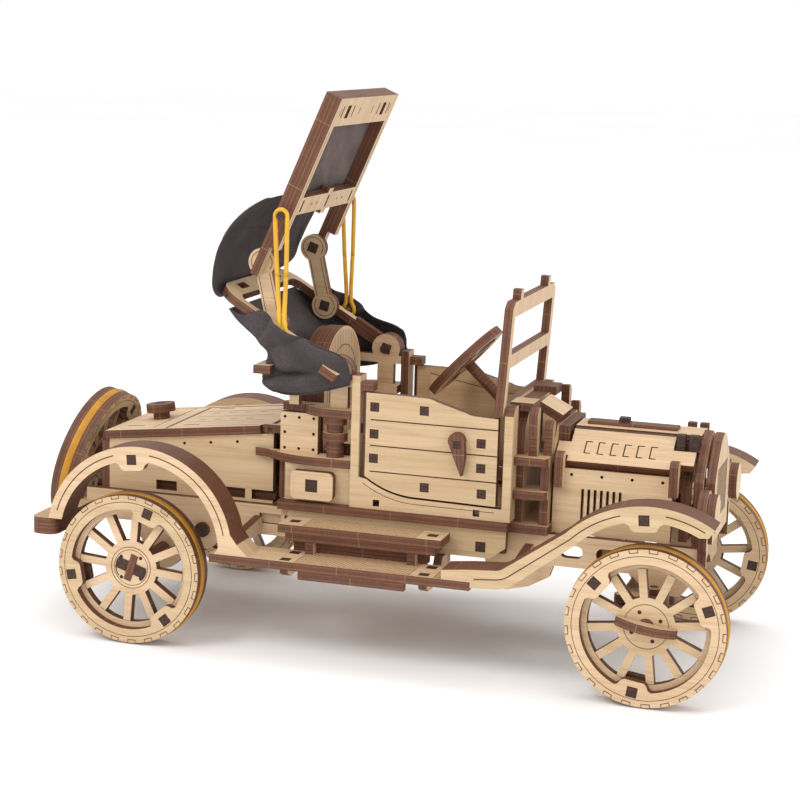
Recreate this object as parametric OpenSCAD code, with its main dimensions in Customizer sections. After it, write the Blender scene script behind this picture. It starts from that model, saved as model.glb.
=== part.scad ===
// Vintage open tourer with a folding roof, as a slot-together plywood model.
// The car points along +X, +Z is up and its centre plane is Y = 0.
// Heights are from the ground. Lengths are worked out from the rear axle, and
// the whole model is then moved so that the middle of its length is at X = 0.
// "right" parts are on the -Y side, "left" parts on the +Y side.

/* [Plywood] */
// Thickness of the plywood sheet
ply = 3.3; // [3.2:0.05:3.4]
// Width of a cut between two pieces that move past each other
gap = 0.35; // [0.3:0.01:0.4]
// Side of a square tenon
tenon = 4; // [3.5:0.1:4.2]

/* [Wheels] */
// Radius of a wheel over its rubber tyre
wheel_r = 30; // [29.5:0.1:30]
// Distance from the rear axle to the front axle
wheelbase = 203.1; // [202:0.1:204]
// Distance from the centre plane to a wheel's outer face
track_half = 63.1; // [62.5:0.1:64]
// Number of spokes
spokes = 12; // [8:4:16]
// Angle of the rear wheels' first spoke
rear_turn = 64.6; // [0:0.1:120]
// Angle of the front wheels' first spoke
front_turn = 6.9; // [0:0.1:120]

/* [Body] */
// Half of the body's width over the doors
body_half = 35.8; // [35.6:0.1:36]
// Height of the bottom of the frame rails
rail_low = 40.4; // [40.3:0.1:40.6]
// Height of the frame rails
rail_h = 12.1; // [12:0.1:12.2]
// Slope of the luggage lid
lid_slope = 6.66; // [6:0.02:7]

/* [Roof] */
// Distance from the roof's main pivot to the rear bow
bow_len = 56.3; // [55:0.1:57]
// Slope of the rear bow, from pointing straight back
bow_rise = 30.4; // [29:0.1:31]
// Slope of the roof frame, from pointing straight ahead
frame_rise = 67; // [66:0.1:68]
// Length of the roof frame from its pivot
frame_len = 71.7; // [71:0.1:73]
// Length of the two links between their pivots
link_len = 24.6; // [24:0.1:25]

/* [Hidden] */
$fn = 48;

birch = [0.86, 0.72, 0.53];
birch_dark = [0.74, 0.58, 0.40];
burnt = [0.36, 0.21, 0.13];
ochre = [0.86, 0.62, 0.20];
charcoal = [0.24, 0.23, 0.25];

sunk = 0.12;           // how far a tenon's end lies below the face round it
fit = 0.05;            // radial clearance of a running fit
rod_r = 1;             // radius of the thin hinge rods

// spare wheel, which leans forward at its top
spare_x = -48;         // centre of its outer face
spare_z = 60.2;
spare_lean = 16;
wheel_t = 3 * ply;

// the model's length, from the spare wheel's foot to the front tyres
wood_r = wheel_r - 0.5; // radius of a wheel's wooden rings
x_back = spare_x - wood_r * sin(spare_lean);
x_front = wheelbase + wheel_r;
x_mid = (x_back + x_front) / 2;

// frame
rail_y = 25.35;        // inner face of a frame rail
rail_top = rail_low + rail_h;
axle_r = 3;
sill_z = 57.1;         // top of the sill ledge
board_z = 36.9;        // underside of the running boards
step_z = 48.2;         // underside of the step boards

// roof pivots, as [x, z]
pivot = [74.5, 109.5];
link_low = pivot + 31.7 * [-cos(bow_rise), sin(bow_rise)];
link_angle = 103;
link_top = link_low + link_len * [cos(link_angle), sin(link_angle)];

// steering
king_y = 46;           // distance from the centre plane to a kingpin
arm_len = 12;          // from a kingpin back to the tie rod's pin
arm_z = 34.2;          // underside of the steering arms

// ---------- shapes that repeat ----------

// moves everything from the rear axle's frame to the model's own
module placed() { translate([-x_mid, 0, 0]) children(); }

// a plate cut in the XZ plane, from y0 to y0 + t
module across(y0, t = ply) {
    translate([0, y0 + t, 0]) rotate([90, 0, 0]) linear_extrude(t) children();
}

// a plate cut in the XY plane, from z0 up
module flat(z0, t = ply) { translate([0, 0, z0]) linear_extrude(t) children(); }

// a plate cut in the YZ plane, from x0 forward
module upright(x0, t = ply) {
    translate([x0, 0, 0]) rotate([90, 0, 90]) linear_extrude(t) children();
}

module both_sides() { children(); mirror([0, 1, 0]) children(); }

// a rectangle from one corner to the other
module rect(x0, z0, x1, z1) { translate([x0, z0]) square([x1 - x0, z1 - z0]); }

// a rectangle with round corners
module round_rect(x0, z0, x1, z1, r) {
    rect(x0 + r, z0, x1 - r, z1);
    rect(x0, z0 + r, x1, z1 - r);
    for (x = [x0 + r, x1 - r], z = [z0 + r, z1 - r]) translate([x, z]) circle(r);
}

// a square tenon's outline
module peg(x, z, a = 0, s = tenon) { translate([x, z]) rotate(a) square(s, center = true); }

// points along an arc about c, from angle a0 to a1
function arc(c, r, a0, a1, n = 14) =
    [for (i = [0:n]) c + r * [cos(a0 + (a1 - a0) * i / n), sin(a0 + (a1 - a0) * i / n)]];

// a straight round rod from p along X, Y or Z
module rod_x(p, r, l) { translate(p) rotate([0, 90, 0]) cylinder(r = r, h = l); }
module rod_y(p, r, l) { translate(p) rotate([-90, 0, 0]) cylinder(r = r, h = l); }
module rod_z(p, r, l) { translate(p) cylinder(r = r, h = l); }

// ---------- wheels, drawn about the origin with the outer face at z = wheel_t ----------

ring_in = 24;               // inner radius of the outer rings
hub_r = 10.9;               // plate that the spokes grow from
hub_z = 2 * ply;            // the hub's outer face, one layer below the rings'

// a lobe that flares out into the band at radius r, on the +X axis
module lobe(r) {
    polygon([[r - 3.9, -3.6], [r - 3.2, -4.7], [r - 1.6, -5.6], [r - 0.6, -7.4], [r + 3, -7.8],
        [r + 3, 7.8], [r - 0.6, 7.4], [r - 1.6, 5.6], [r - 3.2, 4.7], [r - 3.9, 3.6]]);
}

// an outer ring with three lobes, which hold the square tenons
module ring_outline() {
    difference() {
        union() {
            difference() {
                circle(wood_r);
                circle(ring_in);
            }
            for (k = [0:2]) rotate(120 * k + 15) lobe(ring_in);
        }
        for (k = [0:2]) rotate(120 * k + 15) peg(ring_in + 0.4, 0);
    }
}

// the middle layer: rim, spokes and the plate under the hub
module spoke_outline(bore_r) {
    difference() {
        union() {
            difference() {
                circle(wood_r - 0.6);
                circle(21.8);
            }
            for (k = [0:spokes - 1]) rotate(k * 360 / spokes)
                translate([hub_r - 1, -1.5]) square([22.6 - hub_r, 3]);
            circle(hub_r);
        }
        circle(bore_r);
    }
}

module hub_outline(bore_r) {
    difference() {
        circle(8.4);
        circle(bore_r);
    }
}

module wheel_wood(turn, bore_r) {
    rotate(turn) {
        color(birch) linear_extrude(ply) ring_outline();
        color(birch) difference() {
            translate([0, 0, ply]) linear_extrude(ply) spoke_outline(bore_r);
            // seam round the inlaid hub disc, and the holes of its four pins
            translate([0, 0, hub_z - 0.4]) linear_extrude(1) difference() {
                circle(8.45);
                circle(8.1);
            }
            for (k = [0:3]) rotate(90 * k + 20) translate([5.8, 0, hub_z - sunk])
                cylinder(r = 0.75, h = 1, $fn = 16);
        }
        color(birch) translate([0, 0, hub_z]) linear_extrude(ply) ring_outline();
        color(birch) linear_extrude(ply) hub_outline(bore_r);
        color(burnt) for (k = [0:2]) rotate(120 * k + 15) translate([0, 0, sunk])
            linear_extrude(wheel_t - 2 * sunk) peg(ring_in + 0.4, 0);
    }
}

// the rubber band that lies round the middle layer
module tyre() {
    color(ochre) translate([0, 0, ply]) rotate_extrude($fn = 96)
        translate([wood_r - 0.6, 0]) square([wheel_r - wood_r + 0.6, ply]);
}

// sets a wheel on its axle, side -1 is the right-hand side
module at_wheel(x, side) {
    translate([x, side * (track_half - wheel_t), wheel_r])
        rotate([side < 0 ? 90 : -90, 0, 0]) children();
}

module rear_wheels() {
    placed() for (side = [-1, 1]) at_wheel(0, side) wheel_wood(side * rear_turn, axle_r);
}

module rear_tyres() { placed() for (side = [-1, 1]) at_wheel(0, side) tyre(); }

module front_wheel_right() {
    placed() at_wheel(wheelbase, -1) wheel_wood(front_turn, axle_r + fit);
}

module front_tyre_right() { placed() at_wheel(wheelbase, -1) tyre(); }

module front_wheel_left() {
    placed() at_wheel(wheelbase, 1) wheel_wood(-front_turn, axle_r + fit);
}

module front_tyre_left() { placed() at_wheel(wheelbase, 1) tyre(); }

// ---------- drive ----------

gear_m = 1.5;
gear_n = 12;
motor_n = 14;
gear_y = -8;
motor_d = gear_m * (gear_n + motor_n) / 2 + 0.3;
motor_a = 30;
motor_at = [motor_d * cos(motor_a), wheel_r + motor_d * sin(motor_a)];
hook_x = 118;          // the motor band's front hook
band_y = 6;

// a spur gear's outline, with a tooth on the +X axis and play between the teeth
module gear_outline(n) {
    root = gear_m * (n / 2 - 1.25);
    pitch = gear_m * n / 2;
    tip = gear_m * (n / 2 + 0.8);
    w = PI * gear_m;
    difference() {
        union() {
            circle(root);
            for (k = [0:n - 1]) rotate(k * 360 / n) polygon([
                [root - 0.5, -0.26 * w], [pitch, -0.19 * w], [tip, -0.09 * w],
                [tip, 0.09 * w], [pitch, 0.19 * w], [root - 0.5, 0.26 * w]
            ]);
        }
        circle(axle_r);
    }
}

module collar(y, c, r) {
    across(y) translate(c) difference() {
        circle(r);
        circle(axle_r);
    }
}

hub_y = track_half - ply;  // outer face of the hubs

module rear_axle() {
    placed() color(burnt) {
        rod_y([0, -hub_y, wheel_r], axle_r, 2 * hub_y);
        // end grain of the crossed plates that lock the wheels
        for (side = [-1, 1]) at_wheel(0, side) translate([0, 0, hub_z]) rotate(side * -72) {
            translate([-5.4, -1.5, 0]) cube([10.8, 3, 0.3]);
            for (y = [-6.2, 2]) translate([-2.2, y, 0]) cube([4.4, 4.2, 0.3]);
        }
        collar(-rail_y + gap, [0, wheel_r], 5.5);
        collar(rail_y - gap - ply, [0, wheel_r], 5.5);
        across(gear_y) translate([0, wheel_r]) rotate(motor_a) gear_outline(gear_n);
    }
}

module motor_shaft() {
    shaft_end = rail_y + ply + 1.5;
    placed() color(burnt) {
        rod_y([motor_at[0], -shaft_end, motor_at[1]], axle_r, 2 * shaft_end);
        across(gear_y) translate(motor_at)
            rotate(motor_a + 180 + 180 / motor_n) gear_outline(motor_n);
        collar(band_y - ply - 1, motor_at, 6);
        collar(band_y + 2.6, motor_at, 6);
        collar(-rail_y + gap, motor_at, 5.5);
        collar(rail_y - gap - ply, motor_at, 5.5);
    }
}

// the rubber band between the motor shaft and its front hook
module motor_band() {
    band_z = motor_at[1];
    r_in = axle_r + gap;
    r_out = r_in + 1.2;
    placed() color(ochre) across(band_y, 1.6) difference() {
        union() {
            translate(motor_at) circle(r_out);
            translate([hook_x, band_z]) circle(r_out);
            rect(motor_at[0], band_z - r_out, hook_x, band_z + r_out);
        }
        translate(motor_at) circle(r_in);
        translate([hook_x, band_z]) circle(r_in);
        rect(motor_at[0], band_z - r_in, hook_x, band_z + r_in);
    }
}

// ---------- frame and floor ----------

module rail_outline() {
    difference() {
        union() {
            rect(-34, rail_low, 216, rail_top);
            translate([0, wheel_r]) circle(8);
            translate(motor_at) circle(8);
            polygon([[-8, wheel_r], [-14, rail_low + 1], [30, rail_low + 1],
                motor_at + [7.5, -3], [7, wheel_r - 4]]);
            // gusset behind the front wheels and spring hanger at the front axle
            polygon([[134, rail_low + 1], [137, 30.6], [143.2, 28.9], [152, 31.2],
                [159.8, 35.7], [161.7, rail_low + 1]]);
            polygon([[190, rail_low + 1], [198, 33.4], [210, 33.4], [216, rail_low + 1]]);
        }
        translate([0, wheel_r]) circle(axle_r + fit);
        translate(motor_at) circle(axle_r + fit);
        // oval lightening holes
        for (x = [166, 180]) {
            translate([x, 46.4]) circle(2.4);
            translate([x + 4, 46.4]) circle(2.4);
            rect(x, 44, x + 4, 48.8);
        }
    }
}

module frame_rails() {
    placed() color(birch) both_sides() difference() {
        across(-rail_y - ply) rail_outline();
        // blind slots low on the boot's sides
        for (x = [-4.8, 41.4, 52]) across(-rail_y - ply - 1, 2.7) rect(x, 45, x + 9, 49.2);
    }
}

module cross_members() {
    placed() {
        color(birch_dark) for (x = [-27.5, 46, 84, 124, 150, 176]) upright(x) difference() {
            rect(-rail_y, rail_low + 0.4, rail_y, rail_top);
            // notch for the motor band
            rect(band_y - 2, rail_low, band_y + 4, rail_low + 5);
        }
        // front cross member, notched to a round foot
        color(birch) upright(212.7) difference() {
            rect(-rail_y, rail_low - 2, rail_y, rail_top);
            translate([0, rail_low - 6]) circle(9);
        }
        // hook of the motor band
        color(burnt) rod_y([hook_x, -2, motor_at[1]], axle_r, 16);
        color(birch_dark) for (y = [-2 - ply, 14])
            across(y) rect(hook_x - 6, motor_at[1] - 6, 123.9, rail_top);
    }
}

module floor_plate() {
    placed() color(birch_dark) {
        flat(rail_top) difference() {
            rect(50, -31.6, 159, 31.6);
            for (x = [62, 100, 138]) for (y = [-12, 12]) peg(x, y);
        }
        // the boot's floor, between its sides
        flat(rail_top) rect(-25.2, -21.9, 45.6, 21.9);
    }
}

// ledge under the doors, with the lower side panel below it
module side_sills() {
    placed() both_sides() {
        color(birch) flat(sill_z - ply) rect(52, -37.4, 144.7, -32.4);
        color(birch) across(-body_half) difference() {
            polygon([[56, rail_low + 2], [138, rail_low + 2], [144, 47], [144, sill_z - ply],
                [56, sill_z - ply]]);
            for (x = [72, 104, 134.2]) peg(x, 46.6);
        }
        // square spacers between the panel and the rail
        color(burnt) for (x = [72, 104, 134.2])
            translate([x - tenon / 2, sunk - body_half, 46.6 - tenon / 2])
                cube([tenon, body_half - sunk - rail_y - ply, tenon]);
    }
}

// ---------- running boards ----------

module running_boards() {
    placed() color(birch) both_sides() {
        flat(board_z) difference() {
            rect(34, -track_half, 137.4, -45);
            for (x = [64, 119], y = [-59.4, -48.8]) peg(x, y);
        }
        // tenons of the brackets below
        color(burnt) flat(board_z, ply - sunk)
            for (x = [64, 119], y = [-59.4, -48.8]) peg(x, y);
        color(birch_dark) flat(board_z - ply) rect(70, -62.4, 112, -59.6);
    }
}

module step_boards() {
    placed() both_sides() {
        color(birch) flat(step_z) difference() {
            rect(57.4, -51, 122.6, -38);
            for (x = [62.3, 117.7]) peg(x, -44.5);
        }
        color(burnt) flat(step_z, ply - sunk) for (x = [62.3, 117.7]) peg(x, -44.5);
        // second layer, set back from the edge
        color(birch_dark) flat(step_z - ply) rect(60, -49.6, 120, -39);
        // risers down to the running board
        color(birch) for (x = [68, 109])
            upright(x) rect(-49, board_z + ply, -45.2, step_z - ply);
        // bar behind the risers
        color(burnt) translate([62, -45.2, board_z + ply])
            cube([54, 4, step_z - board_z - 2 * ply]);
    }
}

// brackets that carry the boards, down from the rails and out to the edge
module board_brackets() {
    placed() color(birch) both_sides() for (x = [62.3, 117.3]) upright(x) polygon([
        [-61, board_z], [-61, 35], [-58, 33.5], [-40, 33.5], [-rail_y - ply, 38],
        [-rail_y - ply, 42.2], [-40, 42.2], [-43, board_z]
    ]);
}

// ---------- fenders ----------

rear_c = [4.45, 40.2];
rear_r = 39;
front_c = [203.6, 31.4];
front_r = 43.9;
bend_c = [146.6, 51.6];     // centre of the bend between the foot and the straight run
band_w = 5.6;
lobe_d = 5.2;               // depth of a lobe's tenon below the band's outer edge

// rear fender band, from the bumper over the wheel to its foot on the board
module rear_band() {
    polygon(concat(
        arc(rear_c, rear_r, 169.4, 12, 40),
        [[45.4, 44.6], [50, board_z + ply], [36, board_z + ply]],
        arc(rear_c, rear_r - band_w, 4, 167.6, 40)
    ));
}

module rear_lobe_at(r) { translate(rear_c) rotate(95) translate([r, 0]) children(); }

// plates of one rear fender, the outer one with a lobe round the tenon
module rear_fender() {
    color(birch) across(-track_half) difference() {
        union() {
            rear_band();
            rear_lobe_at(0) lobe(rear_r - band_w);
        }
        rear_lobe_at(rear_r - lobe_d) peg(0, 0);
    }
    color(burnt) across(sunk - track_half, 4 * ply - 2 * sunk)
        rear_lobe_at(rear_r - lobe_d) peg(0, 0);
    color(birch_dark) for (k = [1:3]) across(-track_half + k * ply) difference() {
        rear_band();
        rear_lobe_at(rear_r - lobe_d) peg(0, 0);
    }
}

// front fender band: a foot on the board, a straight run up and an arc over the wheel
module front_band() {
    polygon(concat(
        [[126.5, board_z + ply + 3.6], [136, board_z + ply + 4.7]],
        arc(bend_c, 6, 268, 305, 8),
        arc(front_c, front_r, 135, 58.7, 32),
        [[224.4, 65.9]],
        arc(front_c, front_r - band_w, 63, 135, 32),
        arc(bend_c, 13, 305, 270, 8),
        [[137.6, 38], [137.6, board_z + ply], [126.5, board_z + ply]]
    ));
}

module front_lobe_at(r) { translate(front_c) rotate(94) translate([r, 0]) children(); }

module front_fender() {
    color(birch) across(-track_half) difference() {
        union() {
            front_band();
            front_lobe_at(0) lobe(front_r - band_w);
        }
        front_lobe_at(front_r - lobe_d) peg(0, 0);
    }
    color(burnt) across(sunk - track_half, 4 * ply - 2 * sunk)
        front_lobe_at(front_r - lobe_d) peg(0, 0);
    color(birch_dark) for (k = [1:3]) across(-track_half + k * ply) difference() {
        front_band();
        front_lobe_at(front_r - lobe_d) peg(0, 0);
    }
}

// an arm from the rail out to the inner side of a fender
module fender_arm(x, z_out, z_in) {
    color(birch) upright(x) polygon([
        [-track_half + 4 * ply, z_out], [-track_half + 4 * ply, z_out + 4.5],
        [-rail_y - ply, z_in + 6], [-rail_y - ply, z_in]
    ]);
}

module rear_fender_right() {
    placed() {
        rear_fender();
        fender_arm(39.4, 41.2, 42);
    }
}

module rear_fender_left() {
    placed() mirror([0, 1, 0]) {
        rear_fender();
        fender_arm(39.4, 41.2, 42);
    }
}

module front_fender_right() {
    placed() {
        front_fender();
        fender_arm(150, 41, 42);
    }
}

module front_fender_left() {
    placed() mirror([0, 1, 0]) {
        front_fender();
        fender_arm(150, 41, 42);
    }
}

// a flat bar across the back, cut away for the spare wheel
module bumper() {
    placed() color(birch_dark) for (z = [40.6, 40.6 + ply]) flat(z) difference() {
        union() {
            round_rect(-41.8, -track_half, -31, track_half, 4);
            rect(-34.3, -rail_y, -31, rail_y);
        }
        rect(-43, -33, -36.2, 33);
        rect(-34, -rail_y - ply, -30, -rail_y);
        rect(-34, rail_y, -30, rail_y + ply);
    }
}

// ---------- luggage box ----------

boot_out = 25.3;       // outer face of the luggage box's sides

module trunk_sides() {
    placed() both_sides() {
        color(birch) across(-boot_out) difference() {
            polygon([[-25.5, rail_top], [45.6, rail_top], [45.6, 81], [-25.5, 72.7]]);
            for (x = [-4.8, 24.8, 36.6]) rect(x, 53.6, x + 9, 57.6);
            for (k = [0:3]) translate([-4 + 11.4 * k, 72.4 + 1.33 * k]) circle(0.6, $fn = 16);
        }
        // blind behind the slots
        color(birch_dark) across(-boot_out + ply, 1.6) rect(-20, rail_top + ply + 0.2, 43, 66);
    }
}

module trunk_back() {
    placed() {
        color(birch) upright(-25.5 - ply) difference() {
            rect(-boot_out, rail_top, boot_out, 71.6);
            rect(-17, 63, -9, 67);
            rect(9, 63, 17, 67);
        }
        // stub that carries the spare wheel
        color(burnt) difference() {
            translate([spare_x, 0, spare_z]) rotate([0, 90 + spare_lean, 0])
                cylinder(r = axle_r, h = 26);
            translate([-25.5 - ply, -10, 40]) cube([20, 20, 30]);
        }
    }
}

// cross strip in front of the lid
lid_hinge = [44.2, 82.8];
lug_y = 24.4;          // inner face of the lugs at the ends of the lid's rod

module trunk_strip() {
    placed() {
        color(birch) flat(81.5) rect(46.4, -26.5, 52, 26.5);
        color(birch_dark) upright(48.7) rect(-26.5, rail_top + ply, 26.5, 81.5);
        color(birch) both_sides() across(lug_y, 2.1) difference() {
            rect(42.2, 81.3, 46.4, 84.8);
            translate(lid_hinge) circle(rod_r);
        }
    }
}

// lid, drawn level with its hinge rod at the origin
lid_l = 71.5;
lid_low = -1.7;
module lid_level() {
    color(birch) difference() {
        union() {
            flat(lid_low) difference() {
                union() {
                    rect(-lid_l, -26.5, -4, 26.5);
                    rect(-5, -lug_y + gap, 0, lug_y - gap);
                }
                for (y = [-17, 17]) rect(-66, y - 0.5, -58, y + 0.5);
                for (y = [-19, 19]) rect(-40, y - 0.5, -33, y + 0.5);
            }
            rod_y([0, -lug_y + gap, 0], ply / 2, 2 * (lug_y - gap));
        }
        rod_y([0, -lug_y, 0], rod_r + fit, 2 * lug_y);
        // engraved seams
        for (y = [-23, 22.6]) translate([-lid_l + 5, y, lid_low + ply - 0.4])
            cube([60, 0.4, 1]);
        for (x = [-46, -52]) translate([x, -23, lid_low + ply - 0.4]) cube([0.4, 46, 1]);
    }
    color(birch_dark) flat(lid_low - 1.6, 1.6) difference() {
        rect(-62, -20, -9, 20);
        rect(-54, -14, -20, 14);
    }
    // knob
    knob_z = lid_low + ply;
    color(birch_dark) translate([-58, 0, knob_z]) {
        cylinder(r = 3.4, h = 3);
        flat(3) difference() {
            circle(6);
            peg(0, 0);
        }
    }
    color(burnt) translate([-58, 0, 0]) flat(knob_z + 3, ply - sunk) peg(0, 0);
}

module trunk_lid() {
    placed() translate([lid_hinge[0], 0, lid_hinge[1]]) rotate([0, -lid_slope, 0]) lid_level();
}

// ---------- body sides ----------

shelf_low = 72;
shelf_high = 91.5;

module corner_shelves() {
    placed() both_sides() {
        color(birch) flat(shelf_high) difference() {
            polygon(concat([[80.9, -24], [50, -24], [50, -27]],
                arc([72, -21], 14.8, 215, 270, 8), [[80.9, -body_half]]));
            for (x = [54, 60]) rect(x, -30, x + 4, -29);
        }
        color(birch) flat(shelf_low) difference() {
            polygon(concat([[80.9, -26.9], [38.6, -26.9]],
                arc([66, -1.8], 34, 230, 270, 10), [[80.9, -body_half]]));
            for (x = [44, 72]) rect(x, -31, x + 5, -30);
        }
        // panel with rivet holes between the shelves
        color(birch) across(-31) difference() {
            rect(50.5, shelf_low + ply, 66, shelf_high);
            for (x = [52.3, 58.2, 64.2], z = [77.2, 83.4, 89.6])
                if (x != 58.2 || z != 83.4) translate([x, z]) circle(0.6, $fn = 16);
        }
        // back wall of the cabin beside the seat
        color(birch_dark) upright(52.1) rect(-27.6, shelf_low + ply, -24, shelf_high);
    }
}

// five discs of different sizes, stacked like a spool
stack_r = [3.4, 3.4, 4.9, 3.2, 4.5];
module corner_stacks() {
    stack_h = shelf_high - shelf_low - ply;
    placed() both_sides() color(birch_dark) for (k = [0:4])
        rod_z([73, -30.4, shelf_low + ply + k * stack_h / 5], stack_r[k], stack_h / 5);
}

// doors swing on rods inside their rear edges
door_hinge = [87.05, body_half - ply / 2];
door_front = 139.4;
door_low = concat(arc([108, 99.5], 36.1, 236, 270, 8), [[door_front, 62.8]]);
post_x = 141.9;        // back face of the posts in front of the doors

module body_posts() {
    placed() both_sides() {
        color(birch) upright(81.2) difference() {
            rect(-body_half, sill_z, -28, 108.9);
            for (z = [64, 88]) peg(-31.9, z);
        }
        color(birch) upright(post_x) polygon([
            [-body_half, sill_z], [-28, sill_z], [-28, 101.3], [-32.6, 101.3], [-body_half, 98]
        ]);
        color(birch) upright(140) rect(-body_half + ply, 44, -30, rail_top);
        // panel under the door, which follows its lower edge
        color(birch) difference() {
            across(-body_half) difference() {
                polygon(concat([[post_x, sill_z], [84.5, sill_z], [84.5, 69.5]],
                    [for (p = door_low) p - [0, 0.8]], [[post_x, 62]]));
                for (x = [92, 132]) peg(x, 59.6, 0, 2.6);
            }
            rod_z([door_hinge[0], -door_hinge[1], 62], rod_r, 20);
        }
        // wall behind the stop slider
        color(birch_dark) across(-33) difference() {
            rect(53.4, sill_z, 81.2, shelf_low);
            rect(62.8, 61.2, 73.9, 67);
        }
    }
}

// slider that holds the motor, on the right-hand side
module stop_slider() {
    plate_y = -33 - gap - ply;
    placed() {
        color(birch) across(plate_y) difference() {
            round_rect(57, 58.5, 74.5, 69.7, 2);
            peg(65.7, 64.1, 0, 5);
        }
        color(burnt) across(plate_y + sunk, 3 * ply + 2 * gap - 2 * sunk)
            peg(65.7, 64.1, 0, 5);
        color(birch_dark) across(plate_y + 2 * ply + 2 * gap) difference() {
            rect(60, 60, 71.4, 68.2);
            peg(65.7, 64.1, 0, 5);
        }
    }
}

door_pegs = [[90.5, 97.3], [110.3, 97.4], [90.5, 86.8], [133, 86.7], [90.5, 77.2],
    [133.2, 77.1], [111.2, 67.6], [133.8, 67.2]];
handle_at = [124.4, 86.1];

module door_outline() {
    hinge_x = door_hinge[0];
    difference() {
        polygon(concat([[hinge_x, 102.7], [hinge_x, 70.1]], door_low,
            [[door_front, 96.6], [130.5, 97]],
            arc([130.5, 104.6], 7.6, 268, 242, 4),
            arc([110.5, 92.4], 10, 62, 88, 4)));
        for (p = door_pegs) peg(p[0], p[1], 0, 3.6);
        peg(handle_at[0], handle_at[1], 0, 3);
    }
}

// a drop-shaped handle
module handle_outline() {
    difference() {
        union() {
            translate([124, 87.4]) circle(3.2);
            polygon([[121.1, 86.2], [127.1, 86.6], [127.5, 80.6], [126.3, 73.9], [124.2, 78.6]]);
        }
        peg(handle_at[0], handle_at[1], 0, 3);
    }
}

module door() {
    hinge_x = door_hinge[0];
    color(birch) difference() {
        union() {
            across(-body_half) door_outline();
            rod_z([hinge_x, -door_hinge[1], 70.1], ply / 2, 32.6);
        }
        rod_z([hinge_x, -door_hinge[1], 69], rod_r + fit, 35);
        // engraved plank lines
        for (z = [92.3, 82.2, 72.05])
            translate([hinge_x + 2, -body_half - 1, z - 0.25]) cube([60, 1.4, 0.5]);
    }
    color(burnt) across(sunk - body_half, ply - sunk)
        for (p = door_pegs) peg(p[0], p[1], 0, 3.6);
    color(birch) across(-body_half - ply) handle_outline();
    color(burnt) across(sunk - body_half - ply, 2 * ply - sunk)
        peg(handle_at[0], handle_at[1], 0, 3);
    // inner panel
    color(birch_dark) across(-body_half + ply, 1.8)
        polygon([[93, 100], [93, 71], [105, 66.5], [136, 66], [136, 93.5], [120, 95]]);
}

module door_right() { placed() door(); }

module door_left() { placed() mirror([0, 1, 0]) door(); }

// the doors' rods with their top brackets, and the lid's rod
module hinge_rods() {
    placed() {
        color(burnt) both_sides() {
            rod_z([door_hinge[0], -door_hinge[1], 62], rod_r, 44.5);
            flat(103.2) rect(84.5, -body_half, 89.6, -30);
        }
        color(burnt) rod_y([lid_hinge[0], -lug_y - 2.1, lid_hinge[1]], rod_r, 2 * (lug_y + 2.1));
    }
}

// ---------- cabin ----------

module seat_base() {
    floor_z = rail_top + ply;
    placed() {
        color(birch) for (x = [90, 116]) upright(x) difference() {
            rect(-26, floor_z, 26, 73);
            rect(-14, floor_z + 5, 14, 67);
        }
        color(birch_dark) flat(73) rect(66.6, -25.3, 122, 25.3);
        color(birch) flat(73 + ply) difference() {
            round_rect(68, -25, 121, 25, 5);
            rect(94, -0.4, 118, 0.4);
        }
    }
}

// half-ellipse top of the seat's back, w wide each way and h high
module arch(w, z0, z1, h) {
    polygon(concat([[-w, z0], [w, z0]],
        [for (i = [0:24]) [w * cos(7.5 * i), z1 + h * sin(7.5 * i)]]));
}

module seat_back() {
    placed() {
        color(birch_dark) upright(55.4) arch(21.6, rail_top + ply, 103, 18.4);
        color(birch_dark) upright(55.4 + ply) arch(22.6, rail_top + ply, 103, 19);
        color(birch) difference() {
            upright(55.4 + 2 * ply) arch(22.6, 73, 103, 19);
            // stitched lines of the upholstery
            for (y = [-18:4:18]) translate([55.4 + 3 * ply - 0.4, y - 0.2, 80])
                cube([1, 0.4, 36.6 - abs(y) * 0.5]);
        }
    }
}

ear_r = 6;
hem_z = 107.5;         // underside of the bar that the roof cloth's hem lies on

module top_rails() {
    placed() {
        color(birch) both_sides() across(-31.3) difference() {
            union() {
                polygon([[42.4, 104], [81.2, 103.4], [81.2, 106.8], [42.4, hem_z]]);
                translate(pivot) circle(ear_r);
                rect(pivot[0] - 5, 103.6, pivot[0] + 5, pivot[1]);
                rect(54, shelf_high + ply, 58, 104.6);
                rect(71, shelf_high + ply, 78, 104.6);
            }
            translate(pivot) circle(2 + fit);
        }
        color(birch) flat(hem_z) rect(42.5, -41, 49.4, 41);
    }
}

// ---------- cowl and windshield ----------

wall_x = 155;          // back face of the firewall

module firewall() {
    placed() {
        color(birch) upright(wall_x) difference() {
            polygon([[-21.2, rail_top + ply], [21.2, rail_top + ply], [21.2, 88], [18, 92.6],
                [-18, 92.6], [-21.2, 88]]);
            rect(-8, 60, 8, 72);
        }
        // sloping top of the cowl, on two ribs
        color(birch) translate([149.4, 0, 99.7]) rotate([0, 27, 0])
            translate([0, -9, -ply]) cube([10.1, 18, ply]);
        color(birch) both_sides() across(-9) polygon([[150.5, 84], [150.5, 95.6],
            [wall_x, 93.3], [wall_x, 84]]);
        // ledge under the front ends of the hood's hinge rods
        color(birch_dark) upright(wall_x + ply, 4.2) rect(-14.9, 86.4, 14.9, 92.2);
    }
}

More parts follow.
